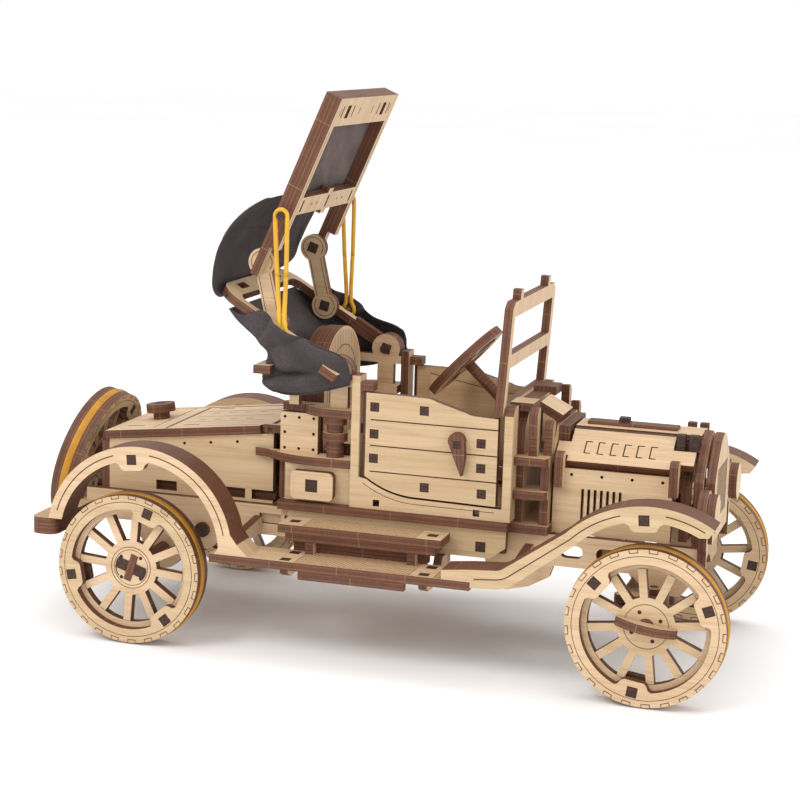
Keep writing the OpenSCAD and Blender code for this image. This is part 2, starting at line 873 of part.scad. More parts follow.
module dashboard() {
    placed() {
        color(birch) difference() {
            union() {
                upright(144.4) difference() {
                    polygon([[-27, rail_top + ply], [27, rail_top + ply], [27, 92], [20, 98.4],
                        [-20, 98.4], [-27, 92]]);
                    for (y = [-16, -6]) translate([y, 88]) circle(2.6);
                }
                // boss that guides the steering column
                at_column() translate([0, 0, -42]) cylinder(r = 5, h = 7);
            }
            at_column() translate([0, 0, -60]) cylinder(r = column_r + fit, h = 40);
        }
        // shelf over the instruments
        color(birch) both_sides() flat(98.4) rect(141.2, -25, 150.3, -14);
        color(birch_dark) flat(98.4, 1.2) rect(141.2, -14, 147.7, 14);
    }
}

// shelves and uprights beside the cowl
module cowl_posts() {
    low = rail_top + ply;
    shelf_z = [66, 79];
    placed() both_sides() {
        color(birch) for (z = shelf_z) flat(z) polygon([[147.9, -21.4], [147.9, -27.4],
            [145.4, -27.4], [145.4, -33], [157.2, -33], [158.2, -31], [158.2, -21.4]]);
        // post between the shelves
        color(birch) for (z = [[low, shelf_z[0]], [shelf_z[0] + ply, shelf_z[1]]])
            upright(154.9) rect(-29, z[0], -24, z[1]);
        // two posts on the upper shelf, with their tops rounded outwards
        color(birch) upright(149.9) polygon([[-25.4, 82.3], [-25.4, 100.7], [-28.4, 100.7],
            [-30.2, 98.4], [-30.2, 90], [-29, 82.3]]);
        color(birch) upright(wall_x) polygon([[-21.4, 82.3], [-21.4, 95.3], [-24, 95.3],
            [-26, 93], [-26, 82.3]]);
    }
}

shield_lean = 3.6;
shield_h = 43.4;

module windshield() {
    placed() color(birch) translate([137.6, 0, 97.9]) rotate([0, shield_lean, 0]) upright(0)
        difference() {
            union() {
                // chamfered frame with two tenons on its top
                polygon([[-body_half, 0], [body_half, 0], [body_half, shield_h - 2.6],
                    [body_half - 3, shield_h], [3 - body_half, shield_h],
                    [-body_half, shield_h - 2.6]]);
                for (y = [-25, 20.8]) rect(y, shield_h - 1, y + 4.2, shield_h + 3.7);
            }
            rect(4.5 - body_half, 23.1, body_half - 4.5, 37.5);
            rect(4.5 - body_half, 3.4, body_half - 4.5, 17.9);
        }
}

// ---------- hood ----------

hood_x = [163.4, 212];
hood_hinge = [9.9, 89.4];     // y and z of the right and left hinge rods
hood_slope = 36;

module hood_spine() {
    placed() {
        color(birch) flat(88.2) difference() {
            rect(hood_x[0], -7.9, hood_x[1], 7.9);
            peg(181, 0);
        }
        color(birch_dark) flat(88.2 + ply, 1.2) difference() {
            rect(167, -3.4, 202, 3.4);
            peg(181, 0);
        }
        // latch post
        color(burnt) translate([181, 0, 86.4]) linear_extrude(8.2) peg(0, 0);
        color(burnt) both_sides()
            rod_x([hood_x[0] - 0.5, -hood_hinge[0], hood_hinge[1]], rod_r,
                hood_x[1] - hood_x[0] + 0.5);
    }
}

// one hood panel, drawn flat from its hinge rod out to y = -17
module hood_panel() {
    x0 = hood_x[0] + gap;
    x1 = 202.9;
    color(birch) translate([0, -hood_hinge[0], hood_hinge[1]]) rotate([hood_slope, 0, 0])
        difference() {
            union() {
                flat(-ply / 2) polygon([[x0, 0], [x1, 0], [x1, -7], [x1 + 8.7, -7],
                    [x1 + 8.7, -14], [x1, -14], [x1, -16.8], [x0, -16.8], [x0, -14],
                    [x0 - 4.8, -14], [x0 - 4.8, -7], [x0, -7]]);
                rod_x([x0, 0, 0], ply / 2, x1 - x0);
            }
            rod_x([x0 - 1, 0, 0], rod_r + fit, x1 - x0 + 2);
            // C-shaped louvres
            for (k = [0:5]) translate([169.3 + 5 * k, -12.4, ply / 2 - 0.4]) {
                cube([0.5, 6.4, 1]);
                cube([2.6, 0.5, 1]);
                translate([0, 5.9, 0]) cube([2.6, 0.5, 1]);
            }
        }
}

module hood_panel_right() { placed() hood_panel(); }

module hood_panel_left() { placed() mirror([0, 1, 0]) hood_panel(); }

module hood_sides() {
    placed() both_sides() {
        color(birch) across(-24.6, ply) difference() {
            rect(159.1, rail_top, 204.6, 78);
            for (k = [0:6]) rect(170 + 2.4 * k, 58.4, 171.1 + 2.4 * k, 70.4);
            for (k = [0:3]) translate([166 + 11.6 * k, 75.6]) circle(0.6, $fn = 16);
            rect(190, 57, 198, 60);
        }
        // tabs of the two frames under the hood
        color(birch) for (x = [159.9, 203.6]) upright(x) polygon([[-28.3, 71], [-28.3, 82.6],
            [-26.9, 84.2], [-23.4, 84.2], [-23.4, 78], [-24.6, 78], [-24.6, 71]]);
    }
}

// radiator: three plates, the front one with upright slats
module radiator_outline(w, top) {
    polygon([[-w, rail_top], [w, rail_top], [w, 76], [w - 4, 82], [7, 90], [0, top],
        [-7, 90], [4 - w, 82], [-w, 76]]);
}

module radiator() {
    placed() {
        color(birch_dark) upright(207) difference() {
            polygon([[-20, rail_top], [20, rail_top], [20, 74], [12, 80], [-12, 80], [-20, 74]]);
            rect(-14, 60, 14, 74);
        }
        color(birch) upright(hood_x[1]) difference() {
            radiator_outline(20.5, 92.4);
            rect(-13, 60, 13, 80);
        }
        color(birch) upright(hood_x[1] + 4.4) difference() {
            radiator_outline(19.5, 92);
            for (y = [-13:2.6:12]) rect(y, 60, y + 1.5, 80);
        }
        color(birch_dark) upright(hood_x[1] + ply, 1.1) rect(-17, 56, 17, 59.4);
        // two pairs of uprights behind it, beside the hood's spine
        both_sides() {
            color(birch_dark) across(-13.4, 2.2) rect(203.6, 86.4, hood_x[1], 89.2);
            color(birch) for (x = [203.6, 208.4]) upright(x) difference() {
                rect(-14.9, 86.4, -11.2, 92.4);
                rect(-13.4, 86.3, -11.1, 89.2);
            }
        }
    }
}

module headlamps() {
    placed() both_sides() {
        color(birch_dark) for (k = [0:1]) upright(215.9 + ply * k)
            translate([-29.6, 67]) circle(8.4 - 1.2 * k);
        color(birch) upright(215.9) rect(-31.2, rail_top, -28, 58.8);
        color(birch) upright(215.9) rect(-30, 45, -rail_y - ply, rail_top);
    }
}

module engine_block() {
    placed() {
        color(birch_dark) for (y = [-9.9, 0, 6.6]) across(y) rect(170, rail_top, 200, 72);
        color(birch) for (x = [174, 182, 190]) upright(x) rect(-6.6, 56, 0, 76);
        color(burnt) rod_x([200, -1.6, 62], 2, 6);
        color(birch_dark) rod_x([203, -1.6, 62], 5, 2);
    }
}

// ---------- steering ----------

yoke_h = ply;
pin_r = 1.6;

module front_axle() {
    placed() color(birch_dark) {
        // spring pads up to the rails
        both_sides() across(-rail_y - ply) rect(198, 30, 208, 33.4);
        flat(26.8, ply) rect(199.4, -41.5, 206.8, 41.5);
        both_sides() {
            // uprights and yoke plates round the kingpin
            across(-41.5) rect(198.6, 18.6, 207.6, 26.8);
            across(-41.5) rect(198.6, 26.8 + ply, 207.6, 41.4);
            for (z = [18.6, 41.4 - yoke_h]) difference() {
                flat(z, yoke_h) union() {
                    rect(198.6, -king_y, 207.6, -41.5);
                    translate([wheelbase, -king_y]) circle(4.4);
                }
                rod_z([wheelbase, -king_y, z - 1], pin_r + fit, 10);
            }
        }
    }
}

// upright block on its kingpin, with the stub axle and the arm back to the tie rod
module knuckle() {
    z0 = 18.6 + yoke_h + gap;
    z1 = 41.4 - yoke_h - gap;
    color(burnt) {
        rod_z([wheelbase, -king_y, 18.6], pin_r, 22.8);
        rod_z([wheelbase, -king_y, z0], 3.6, z1 - z0);
        translate([wheelbase - 4, -king_y - 4, wheel_r - 5]) cube([8, 5, 10]);
        rod_y([wheelbase, -hub_y - gap, wheel_r], axle_r, hub_y + gap - king_y - 4);
        // retaining bar outside the hub
        translate([wheelbase, -hub_y - gap, wheel_r]) rotate([0, 8, 0])
            translate([0, 0, -ply / 2]) linear_extrude(ply)
                polygon(concat([[-11.5, 0], [11.5, 0]], arc([0, 14.5], 19.1, 305, 235, 12)));
    }
    color(birch) flat(arm_z) {
        translate([wheelbase, -king_y]) circle(4.2);
        rect(wheelbase - arm_len, -king_y - 2.2, wheelbase, -king_y + 2.2);
        translate([wheelbase - arm_len, -king_y]) circle(2.6);
    }
    color(burnt) rod_z([wheelbase - arm_len, -king_y, arm_z - 4.4], 1.2, 4.4);
}

module knuckle_right() { placed() knuckle(); }

module knuckle_left() { placed() mirror([0, 1, 0]) knuckle(); }

// tie rod under the arms, with slots for their pins
module tie_rod() {
    bar_x = wheelbase - arm_len;
    slot_r = 1.2 + 0.08;
    placed() color(birch) flat(arm_z - 0.9 - ply) difference() {
        union() {
            rect(bar_x - 3, -king_y - 1, bar_x + 4.2, king_y + 1);
            for (y = [-king_y, king_y]) translate([bar_x + 0.4, y]) circle(3.6);
        }
        for (y = [-king_y, king_y]) {
            for (x = [0, 1.2]) translate([bar_x + x, y]) circle(slot_r);
            rect(bar_x, y - slot_r, bar_x + 1.2, y + slot_r);
        }
    }
}

wheel_at = [114, 9, 110.4];
column_tilt = 46.6;
column_r = 2.2;

// sets up the steering column's axes: +Z up along it from the wheel's centre
module at_column() { translate(wheel_at) rotate([0, -column_tilt, 0]) children(); }

module steering_wheel() {
    rim_r = 18.6;
    placed() at_column() {
        color(birch) translate([0, 0, -ply / 2]) linear_extrude(ply) difference() {
            union() {
                difference() {
                    circle(rim_r);
                    circle(rim_r - 4);
                }
                for (a = [45:90:315]) rotate(a) rect(0, -1.6, rim_r - 2, 1.6);
                circle(5);
            }
            circle(column_r);
        }
        color(burnt) translate([0, 0, -47]) cylinder(r = column_r, h = 48 + ply / 2);
    }
}

// ---------- spare wheel ----------

module at_spare() {
    translate([spare_x, 0, spare_z]) rotate([0, spare_lean - 90, 0])
        translate([0, 0, -wheel_t]) children();
}

module spare_wheel() { placed() at_spare() wheel_wood(17, axle_r); }

module spare_tyre() { placed() at_spare() tyre(); }

// ---------- folding roof ----------

arm_y = 31.6;          // inner face of the bow's arms and of the frame's rails
roof_y = 36;           // half of the roof's width
hook_l = 5.6;          // how far the rubber bands' hooks stand out
low_hook = pivot + 24 * [-cos(bow_rise), sin(bow_rise)] + [0, 1];

// sets up the bow's own axes: +X from the pivot along the bow, -Z to its top
module at_bow() {
    translate([pivot[0], 0, pivot[1]]) rotate([0, bow_rise - 180, 0]) children();
}

module roof_bow() {
    placed() {
        color(birch) at_bow() difference() {
            union() {
                flat(-ply / 2) difference() {
                    intersection() {
                        round_rect(-20, -roof_y, bow_len + 1.2, roof_y, 10);
                        rect(9, -roof_y, bow_len + 2, roof_y);
                    }
                    round_rect(-30, -arm_y, bow_len - 6.8, arm_y, 4);
                }
                for (y = [-arm_y - ply, arm_y]) across(y) {
                    circle(ear_r);
                    rect(0, -2.8, 18, 2.8);
                }
                // ends of the cross tenon, which hold the cloth's corners
                for (y = [-43.4, arm_y + ply]) translate([-2.4, y, -ply / 2])
                    cube([7, 43.4 - arm_y - ply, ply]);
            }
            // tenon slots in the back bar
            for (y = [-18, 18]) translate([bow_len - 4, y - 4, -3]) cube([3.3, 8, 6]);
        }
        color(burnt) both_sides() {
            // main pivot pins
            rod_y([pivot[0], -arm_y, pivot[1]], 2, 5.2);
            // pins of the links
            rod_y([link_low[0], -arm_y - 0.6, link_low[1]], 1.6, 5);
            // hooks of the rubber bands
            rod_y([low_hook[0], -roof_y - hook_l, low_hook[1]], 1.5, hook_l + 0.4);
        }
    }
}

link_y = 27.9;

// a bone-shaped link from its lower pivot to its upper one
module link_outline() {
    difference() {
        union() {
            for (x = [0, link_len]) translate([x, 0]) circle(5.5);
            rect(0, -3.2, link_len, 3.2);
        }
        for (x = [0, link_len]) translate([x, 0]) circle(1.6 + fit);
    }
}

module roof_links() {
    placed() color(birch) for (y = [-link_y - ply, link_y]) across(y)
        translate(link_low) rotate(link_angle) link_outline();
}

// sets up the frame's own axes: +X up the frame, +Z out of its back
module at_frame() {
    translate([link_top[0], 0, link_top[1]]) rotate([0, -frame_rise, 0]) children();
}

front_n = -5.3;        // front face of the frame, measured from its pivot

module roof_frame() {
    placed() {
        at_frame() {
            // front plate with its two cross bars
            color(birch) flat(front_n) difference() {
                rect(8, -roof_y, frame_len, roof_y);
                rect(30.2, -arm_y, 60.1, arm_y);
                rect(0, -arm_y, 22.9, arm_y);
                for (y = [-22, 22]) {
                    rect(63.2, y - 1.9, 68.6, y + 1.9);
                    for (d = [-6.2, 6.2]) rect(63.6, y + d - 0.5, 68.4, y + d + 0.5);
                }
                rect(24, -0.8, 29, 0.8);
                for (y = [-29, 29]) rect(24, y - 0.8, 29, y + 0.8);
            }
            color(birch) flat(front_n) {
                rect(30.2, -2.6, 32, 2.6);
                rect(21.1, -2.6, 22.9, 2.6);
            }
            // rails and a top bar behind it
            color(birch_dark) flat(front_n + ply) {
                for (y = [-roof_y, arm_y]) rect(-4.6, y, frame_len, y + roof_y - arm_y);
                rect(frame_len - ply, -arm_y, frame_len, arm_y);
            }
            color(burnt) both_sides()
                rod_y([22, -roof_y - hook_l, -2.6], 1.5, hook_l);
        }
        // pins of the links
        color(burnt) both_sides()
            rod_y([link_top[0], -arm_y, link_top[1]], 1.6, 4.6);
    }
}

high_hook = link_top + 22 * [cos(frame_rise), sin(frame_rise)]
    + 2.6 * [sin(frame_rise), -cos(frame_rise)];

// a rubber band stretched between two hooks
module roof_bands() {
    d = high_hook - low_hook;
    l = norm(d);
    a = atan2(d[1], d[0]);
    placed() color(ochre) both_sides() across(-roof_y - 4.9, 1.5) translate(low_hook) rotate(a)
        difference() {
            union() {
                circle(2.9);
                translate([l, 0]) circle(2.9);
                rect(0, -2.9, l, 2.9);
            }
            circle(1.7);
            translate([l, 0]) circle(1.7);
            rect(0, -1.7, l, 1.7);
        }
}

module roof_window() {
    placed() color(charcoal) at_frame() flat(-0.6, 1.2)
        rect(24, -arm_y + 0.3, frame_len - ply - 0.3, arm_y - 0.3);
}

// cloth from the frame back and down to the bow
module roof_curtain() {
    c = [52, 146];
    placed() color(charcoal) across(-35, 70) polygon(concat(
        arc(c, 30, 108, 186, 26), arc(c, 28.9, 186, 108, 26)));
}

// cloth from the bow down to the body: two sides and a back
module roof_drape() {
    lift = [0, -2.2];
    placed() color(charcoal) {
        both_sides() across(-38.9, 1.2) difference() {
            polygon(concat(
                [for (k = [10:8:50]) pivot + k * [-cos(bow_rise), sin(bow_rise)] + lift],
                [[26.6, 131.6], [38, 123.4], [44, 117], [41, 106], [49, 100], [62, 100],
                    [78.6, 104.4]]));
            rect(41.6, hem_z - 1, 50.4, hem_z + ply + 1);
        }
        across(-37.7, 75.4) polygon([[25.2, 130.8], [26.2, 131.8], [41, 113.2], [40, 112.4]]);
    }
}

frame_rails();
cross_members();
floor_plate();
side_sills();
running_boards();
step_boards();
board_brackets();
rear_fender_right();
rear_fender_left();
front_fender_right();
front_fender_left();
bumper();
trunk_sides();
trunk_back();
trunk_strip();
trunk_lid();
corner_shelves();
corner_stacks();
body_posts();
stop_slider();
door_right();
door_left();
hinge_rods();
seat_base();
seat_back();
top_rails();
firewall();
dashboard();
cowl_posts();
windshield();
hood_spine();
hood_panel_right();
hood_panel_left();
hood_sides();
radiator();
headlamps();
engine_block();
front_axle();
knuckle_right();
knuckle_left();
tie_rod();
steering_wheel();
rear_wheels();
rear_tyres();
rear_axle();
motor_shaft();
motor_band();
front_wheel_right();
front_tyre_right();
front_wheel_left();
front_tyre_left();
spare_wheel();
spare_tyre();
roof_bow();
roof_links();
roof_frame();
roof_bands();
roof_window();
roof_curtain();
roof_drape();
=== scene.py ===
"""Looks of a plywood model car with a folding cloth roof, on the CAD frame: wood, engraving, rubber, cloth."""
import math
import random

import bmesh
import bpy
import numpy as np
from mathutils import Matrix, Vector
from mathutils.bvhtree import BVHTree


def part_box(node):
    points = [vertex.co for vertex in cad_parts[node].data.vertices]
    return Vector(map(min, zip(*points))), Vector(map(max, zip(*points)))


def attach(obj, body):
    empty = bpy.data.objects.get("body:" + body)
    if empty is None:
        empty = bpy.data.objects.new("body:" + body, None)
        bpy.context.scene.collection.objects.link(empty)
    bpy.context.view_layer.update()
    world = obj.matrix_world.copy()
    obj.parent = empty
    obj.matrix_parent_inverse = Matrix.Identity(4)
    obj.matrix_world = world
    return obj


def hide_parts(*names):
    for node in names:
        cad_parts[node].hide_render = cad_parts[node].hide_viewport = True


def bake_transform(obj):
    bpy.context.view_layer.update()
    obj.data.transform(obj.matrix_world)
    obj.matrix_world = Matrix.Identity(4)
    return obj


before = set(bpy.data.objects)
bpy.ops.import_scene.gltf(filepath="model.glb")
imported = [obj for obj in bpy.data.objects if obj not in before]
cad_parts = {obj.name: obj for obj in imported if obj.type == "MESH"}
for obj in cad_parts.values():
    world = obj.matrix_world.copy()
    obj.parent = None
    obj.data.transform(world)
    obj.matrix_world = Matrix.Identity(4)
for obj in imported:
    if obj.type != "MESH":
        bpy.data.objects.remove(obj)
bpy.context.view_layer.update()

MM = 0.001
PLY = 3.3                   # thickness of the plywood, in millimetres
AXLE_X = sum(corner[0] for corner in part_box("rear_tyres")) / 2
WHEEL_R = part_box("rear_tyres")[1][2] / 2 / MM

RIGHT, LEFT = -1, 1         # sides of the car: the right one is at -Y


def at(x, y, z):
    """A point given in millimetres from the rear axle and the ground, in the row frame."""
    return Vector((x * MM + AXLE_X, y * MM, z * MM))


def turned(vector, degrees):
    """A 2D vector, turned."""
    a = math.radians(degrees)
    return Vector((vector[0] * math.cos(a) - vector[1] * math.sin(a),
                   vector[0] * math.sin(a) + vector[1] * math.cos(a)))


def smooth(x):
    """0 below 0, 1 above 1, and a smooth step between."""
    x = min(max(x, 0), 1)
    return x * x * (3 - 2 * x)


# ---------- camera ----------

def add_camera():
    """A camera at the photograph's angle: turned right of the side view, a little above, and rolled."""
    azimuth, elevation, roll = math.radians(16.811), math.radians(10.653), math.radians(1.673)
    right = Vector((math.cos(azimuth), math.sin(azimuth), 0))
    back = Vector((math.sin(azimuth) * math.cos(elevation), -math.cos(azimuth) * math.cos(elevation),
                   math.sin(elevation)))
    up = back.cross(right)
    x = right * math.cos(roll) + up * math.sin(roll)
    y = up * math.cos(roll) - right * math.sin(roll)
    camera = bpy.data.objects.new("camera", bpy.data.cameras.new("camera"))
    camera.data.sensor_width = 36
    camera.data.lens = 88.95
    turn = Matrix((x, y, back)).transposed().to_4x4()
    camera.matrix_world = Matrix.Translation(at(314.6, -744.43, 240.12)) @ turn
    bpy.context.scene.collection.objects.link(camera)
    bpy.context.scene.camera = camera


add_camera()


# ---------- materials ----------

NICK_REACH = 13.5           # half of the way between two light nicks on a cut edge, in millimetres
THREAD_PITCH = 0.9          # the cloth's weave

class Shader:
    """A procedural material under construction."""

    def __init__(self, name, **principled):
        self.material = bpy.data.materials.new(name)
        self.material.use_nodes = True
        self.tree = self.material.node_tree
        self.main = self.tree.nodes["Principled BSDF"]
        for key, value in principled.items():
            self.main.inputs[key.replace("_", " ")].default_value = value

    def node(self, kind, inputs=None, **settings):
        """Adds a node: an input is a number, a colour, or another node's output."""
        node = self.tree.nodes.new("ShaderNode" + kind)
        for key, value in settings.items():
            setattr(node, key, value)
        for key, value in (inputs or {}).items():
            if isinstance(value, bpy.types.NodeSocket):
                self.tree.links.new(value, node.inputs[key])
            else:
                node.inputs[key].default_value = value
        return node

    def attribute(self, name, output="Fac"):
        return self.node("Attribute", attribute_name=name).outputs[output]

    def math(self, operation, *values):
        return self.node("Math", dict(enumerate(values)), operation=operation).outputs[0]

    def noise(self, vector, scale, detail=4.0, roughness=0.55, distortion=0.0):
        """Noise over a vector stretched by scale, a number for each axis."""
        stretched = self.node("Mapping", {"Vector": vector, "Scale": scale}).outputs[0]
        return self.node("TexNoise", {"Vector": stretched, "Scale": 1.0, "Detail": detail,
                                      "Roughness": roughness, "Distortion": distortion}).outputs["Fac"]

    def ramp(self, value, *stops):
        """A colour ramp: each stop is a place and an sRGB colour in 0 to 255."""
        node = self.node("ValToRGB", {"Fac": value})
        elements = node.color_ramp.elements
        while len(elements) < len(stops):
            elements.new(0.5)
        for element, (place, colour) in zip(elements, stops):
            element.position = place
            element.color = srgb(*colour)
        return node.outputs["Color"]

    def levels(self, value, low, high, floor=0.0, top=1.0):
        """Spreads the values between low and high over floor to top."""
        return self.node("MapRange", {"Value": value, "From Min": low, "From Max": high,
                                      "To Min": floor, "To Max": top}).outputs[0]

    def mix(self, factor, a, b, blend="MIX"):
        node = self.node("Mix", data_type="RGBA", blend_type=blend)
        for key, value in ((0, factor), (6, a), (7, b)):
            if isinstance(value, bpy.types.NodeSocket):
                self.tree.links.new(value, node.inputs[key])
            else:
                node.inputs[key].default_value = value
        return node.outputs[2]

    def shaded(self, base, red, green, blue):
        """A colour with each of its channels multiplied by a value."""
        factors = self.node("CombineColor", {0: red, 1: green, 2: blue}).outputs[0]
        return self.mix(1.0, base, factors, "MULTIPLY")

    def colour(self, socket):
        self.tree.links.new(socket, self.main.inputs["Base Color"])

    def roughness(self, socket):
        self.tree.links.new(socket, self.main.inputs["Roughness"])

    def bump(self, height, distance, strength=1.0):
        node = self.node("Bump", {"Height": height, "Distance": distance, "Strength": strength})
        self.tree.links.new(node.outputs[0], self.main.inputs["Normal"])


def srgb(r, g, b):
    """A linear colour from sRGB values in 0 to 255."""
    def linear(c):
        c /= 255
        return c / 12.92 if c <= 0.04045 else ((c + 0.055) / 1.055) ** 2.4
    return (linear(r), linear(g), linear(b), 1)


def birch_material(name, light, middle, dark):
    """Sanded birch: long faint grain, fine pores, and a tone of its own for each plate."""
    s = Shader(name, Roughness=0.58)
    grain = s.attribute("grain", "Vector")
    figure = s.noise(grain, (0.012, 0.22, 1), detail=5, distortion=0.6)
    streaks = s.noise(grain, (0.035, 1.5, 1), detail=6, roughness=0.65)
    pores = s.noise(grain, (0.25, 7.0, 1), detail=2)
    blend = s.math("ADD", s.math("MULTIPLY", figure, 0.5), s.math("MULTIPLY", streaks, 0.5))
    base = s.ramp(blend, (0.3, dark), (0.5, middle), (0.7, light))
    specks = s.levels(pores, 0.3, 0.42, 0.86, 1.0)
    base = s.shaded(base, specks, specks, specks)
    tone = s.levels(s.attribute("tone"), 0, 1, 0.88, 1.06)
    warm = s.levels(s.attribute("tone"), 0, 1, 0.80, 1.06)
    s.colour(s.shaded(base, tone, tone, warm))
    s.roughness(s.levels(streaks, 0.3, 0.7, 0.5, 0.68))
    s.bump(s.math("ADD", streaks, s.math("MULTIPLY", pores, 0.7)), 0.00006, 0.7)
    return s.material


def edge_material():
    """Laser-cut edges: charred plies with glue lines between them, streaks, and lighter nicks."""
    s = Shader("burnt_edge", Roughness=0.62)
    depth = s.math("FRACT", s.attribute("layer"))
    grain = s.attribute("grain", "Vector")
    wobble = s.levels(s.noise(grain, (0.12, 0.12, 1), detail=3), 0, 1, -0.06, 0.06)
    plies = s.ramp(s.math("ADD", depth, wobble),
                   (0.0, (52, 28, 17)), (0.07, (100, 58, 35)), (0.28, (112, 68, 42)), (0.36, (86, 49, 30)),
                   (0.50, (98, 57, 35)), (0.64, (84, 48, 29)), (0.72, (116, 72, 45)), (0.93, (104, 62, 38)),
                   (1.0, (54, 30, 18)))
    streaks = s.noise(grain, (1.6, 0.25, 1), detail=5, roughness=0.7)
    patches = s.noise(grain, (0.06, 0.06, 1), detail=3)
    shade = s.levels(s.math("ADD", s.math("MULTIPLY", streaks, 0.55), s.math("MULTIPLY", patches, 0.45)),
                     0.32, 0.68, 0.66, 1.28)
    brown = s.shaded(plies, shade, shade, shade)
    along = s.node("SeparateXYZ", {0: grain}).outputs[0]
    nick = s.math("LESS_THAN", s.math("ABSOLUTE", s.math("WRAP", along, NICK_REACH, -NICK_REACH)), 0.13)
    s.colour(s.mix(s.math("MULTIPLY", nick, 0.4), brown, srgb(190, 140, 92)))
    s.bump(s.math("ADD", streaks, s.math("MULTIPLY", depth, 0.2)), 0.00008, 0.8)
    return s.material


def end_material():
    """A tenon's end: charred plies crossed by the lines of the laser."""
    s = Shader("tenon_end", Roughness=0.66)
    grain = s.attribute("grain", "Vector")
    parts = s.node("SeparateXYZ", {0: grain})

    def lines(socket, width=0.16):
        offset = s.math("ABSOLUTE", s.math("WRAP", socket, PLY / 4, -PLY / 4))
        return s.levels(offset, width * 0.4, width, 1, 0)

    cross = s.math("MAXIMUM", lines(parts.outputs[0]), lines(parts.outputs[1]))
    fuzz = s.noise(grain, (1.3, 1.3, 1), detail=4)
    base = s.ramp(fuzz, (0.3, (44, 24, 15)), (0.55, (66, 38, 24)), (0.75, (98, 60, 37)))
    s.colour(s.mix(s.math("MULTIPLY", cross, 0.75), base, srgb(28, 15, 10)))
    s.bump(s.math("SUBTRACT", fuzz, cross), 0.00012, 0.8)
    return s.material


def engraved_material(name, colour):
    """A burnt line, darker and lighter along its length."""
    s = Shader(name, Roughness=0.75)
    place = s.node("TexCoord").outputs["Object"]
    fuzz = s.noise(place, (900, 900, 900), detail=3)
    dark = tuple(c * 0.72 for c in colour)
    s.colour(s.ramp(fuzz, (0.35, dark), (0.65, colour)))
    s.bump(fuzz, 0.00005, 0.6)
    return s.material


def rubber_material(name, light, dark, roughness, dust):
    """Coloured rubber: faint flow lines, specks of dust, and a dull skin."""
    s = Shader(name, Roughness=roughness, Specular_IOR_Level=0.4)
    place = s.node("TexCoord").outputs["Object"]
    clouds = s.noise(place, (90, 90, 90), detail=4)
    specks = s.noise(place, (1800, 1800, 1800), detail=2)
    base = s.ramp(clouds, (0.3, dark), (0.7, light))
    s.colour(s.mix(s.levels(specks, 0.62, 0.75, 0, dust), base, srgb(236, 214, 160)))
    s.roughness(s.levels(clouds, 0.3, 0.7, roughness - 0.08, roughness + 0.1))
    s.bump(s.math("ADD", clouds, s.math("MULTIPLY", specks, 0.3)), 0.00012, 0.5)
    return s.material


def cloth_material(name, dark, middle, light):
    """Felted weave: fine crossed threads, fuzz and worn lighter patches."""
    s = Shader(name, Roughness=0.92, Sheen_Weight=0.12, Sheen_Roughness=0.6)
    s.main.inputs["Sheen Tint"].default_value = srgb(190, 176, 172)
    grain = s.attribute("grain", "Vector")
    weave = s.node("SeparateXYZ", {0: grain})
    thread = 2 * math.pi / THREAD_PITCH
    warp = s.math("SINE", s.math("MULTIPLY", weave.outputs[0], thread))
    weft = s.math("SINE", s.math("MULTIPLY", weave.outputs[1], thread))
    knots = s.math("MULTIPLY", warp, weft)
    fuzz = s.noise(grain, (1.8, 1.8, 1.8), detail=5, roughness=0.7)
    wear = s.noise(grain, (0.07, 0.07, 0.07), detail=4)
    base = s.ramp(s.math("ADD", s.math("MULTIPLY", fuzz, 0.6), s.math("MULTIPLY", wear, 0.4)),
                  (0.35, dark), (0.52, middle), (0.7, light))
    felt = s.levels(s.noise(grain, (0.75, 0.75, 0.75), detail=3, roughness=0.8), 0.3, 0.7, 0.72, 1.3)
    shade = s.math("MULTIPLY", felt, s.levels(knots, -1, 1, 0.62, 1.28))
    s.colour(s.shaded(base, shade, shade, shade))
    s.bump(s.math("ADD", s.math("MULTIPLY", knots, 0.6), fuzz), 0.00018, 0.9)
    return s.material


face_ply = birch_material("birch_ply", (218, 190, 156), (204, 174, 139), (182, 149, 112))
# a darker copy of the birch for the parts inside and under the car: painted shade
inner_ply_painted_shade = birch_material("birch_ply_inner", (196, 164, 129), (180, 147, 111), (156, 122, 88))
edge_ply = edge_material()
tenon_end = end_material()
engraved = engraved_material("engraved_line", (96, 58, 35))
hatched = engraved_material("engraved_hatch", (150, 104, 64))
tyre_rubber = rubber_material("ochre_rubber", (200, 142, 38), (168, 112, 24), 0.62, 0.35)
band_rubber = rubber_material("band_rubber", (228, 178, 50), (206, 152, 34), 0.45, 0.1)
cloth = cloth_material("charcoal_cloth", (44, 38, 39), (66, 58, 59), (92, 83, 83))
# a lighter copy of the roof cloth for the window: painted light shining through it
window_cloth_painted_light = cloth_material("window_cloth_painted_light", (76, 64, 62), (98, 84, 80), (124, 108, 102))


# ---------- the wood of the CAD nodes ----------

FACE, EDGE, END = 0, 1, 2
WIDE, NARROW = 13.5, 3.5    # a region wider than the first is a face; one narrower than the second, an edge
TENON = 7.6                 # the longest that a tenon's end is across
SOFT = ("rear_tyres", "front_tyre_right", "front_tyre_left", "spare_tyre", "motor_band", "roof_bands",
        "roof_window", "roof_curtain", "roof_drape")
# the parts inside and under the car, which get the darker birch of painted shade
INNER = ("cross_members", "floor_plate", "corner_stacks", "motor_shaft", "engine_block", "front_axle",
         "bumper", "cowl_posts")


def read(collection, key, width, kind=float):
    """A mesh collection's values as an array."""
    values = np.empty(len(collection) * width, dtype=kind)
    collection.foreach_get(key, values)
    return values.reshape(-1, width) if width > 1 else values


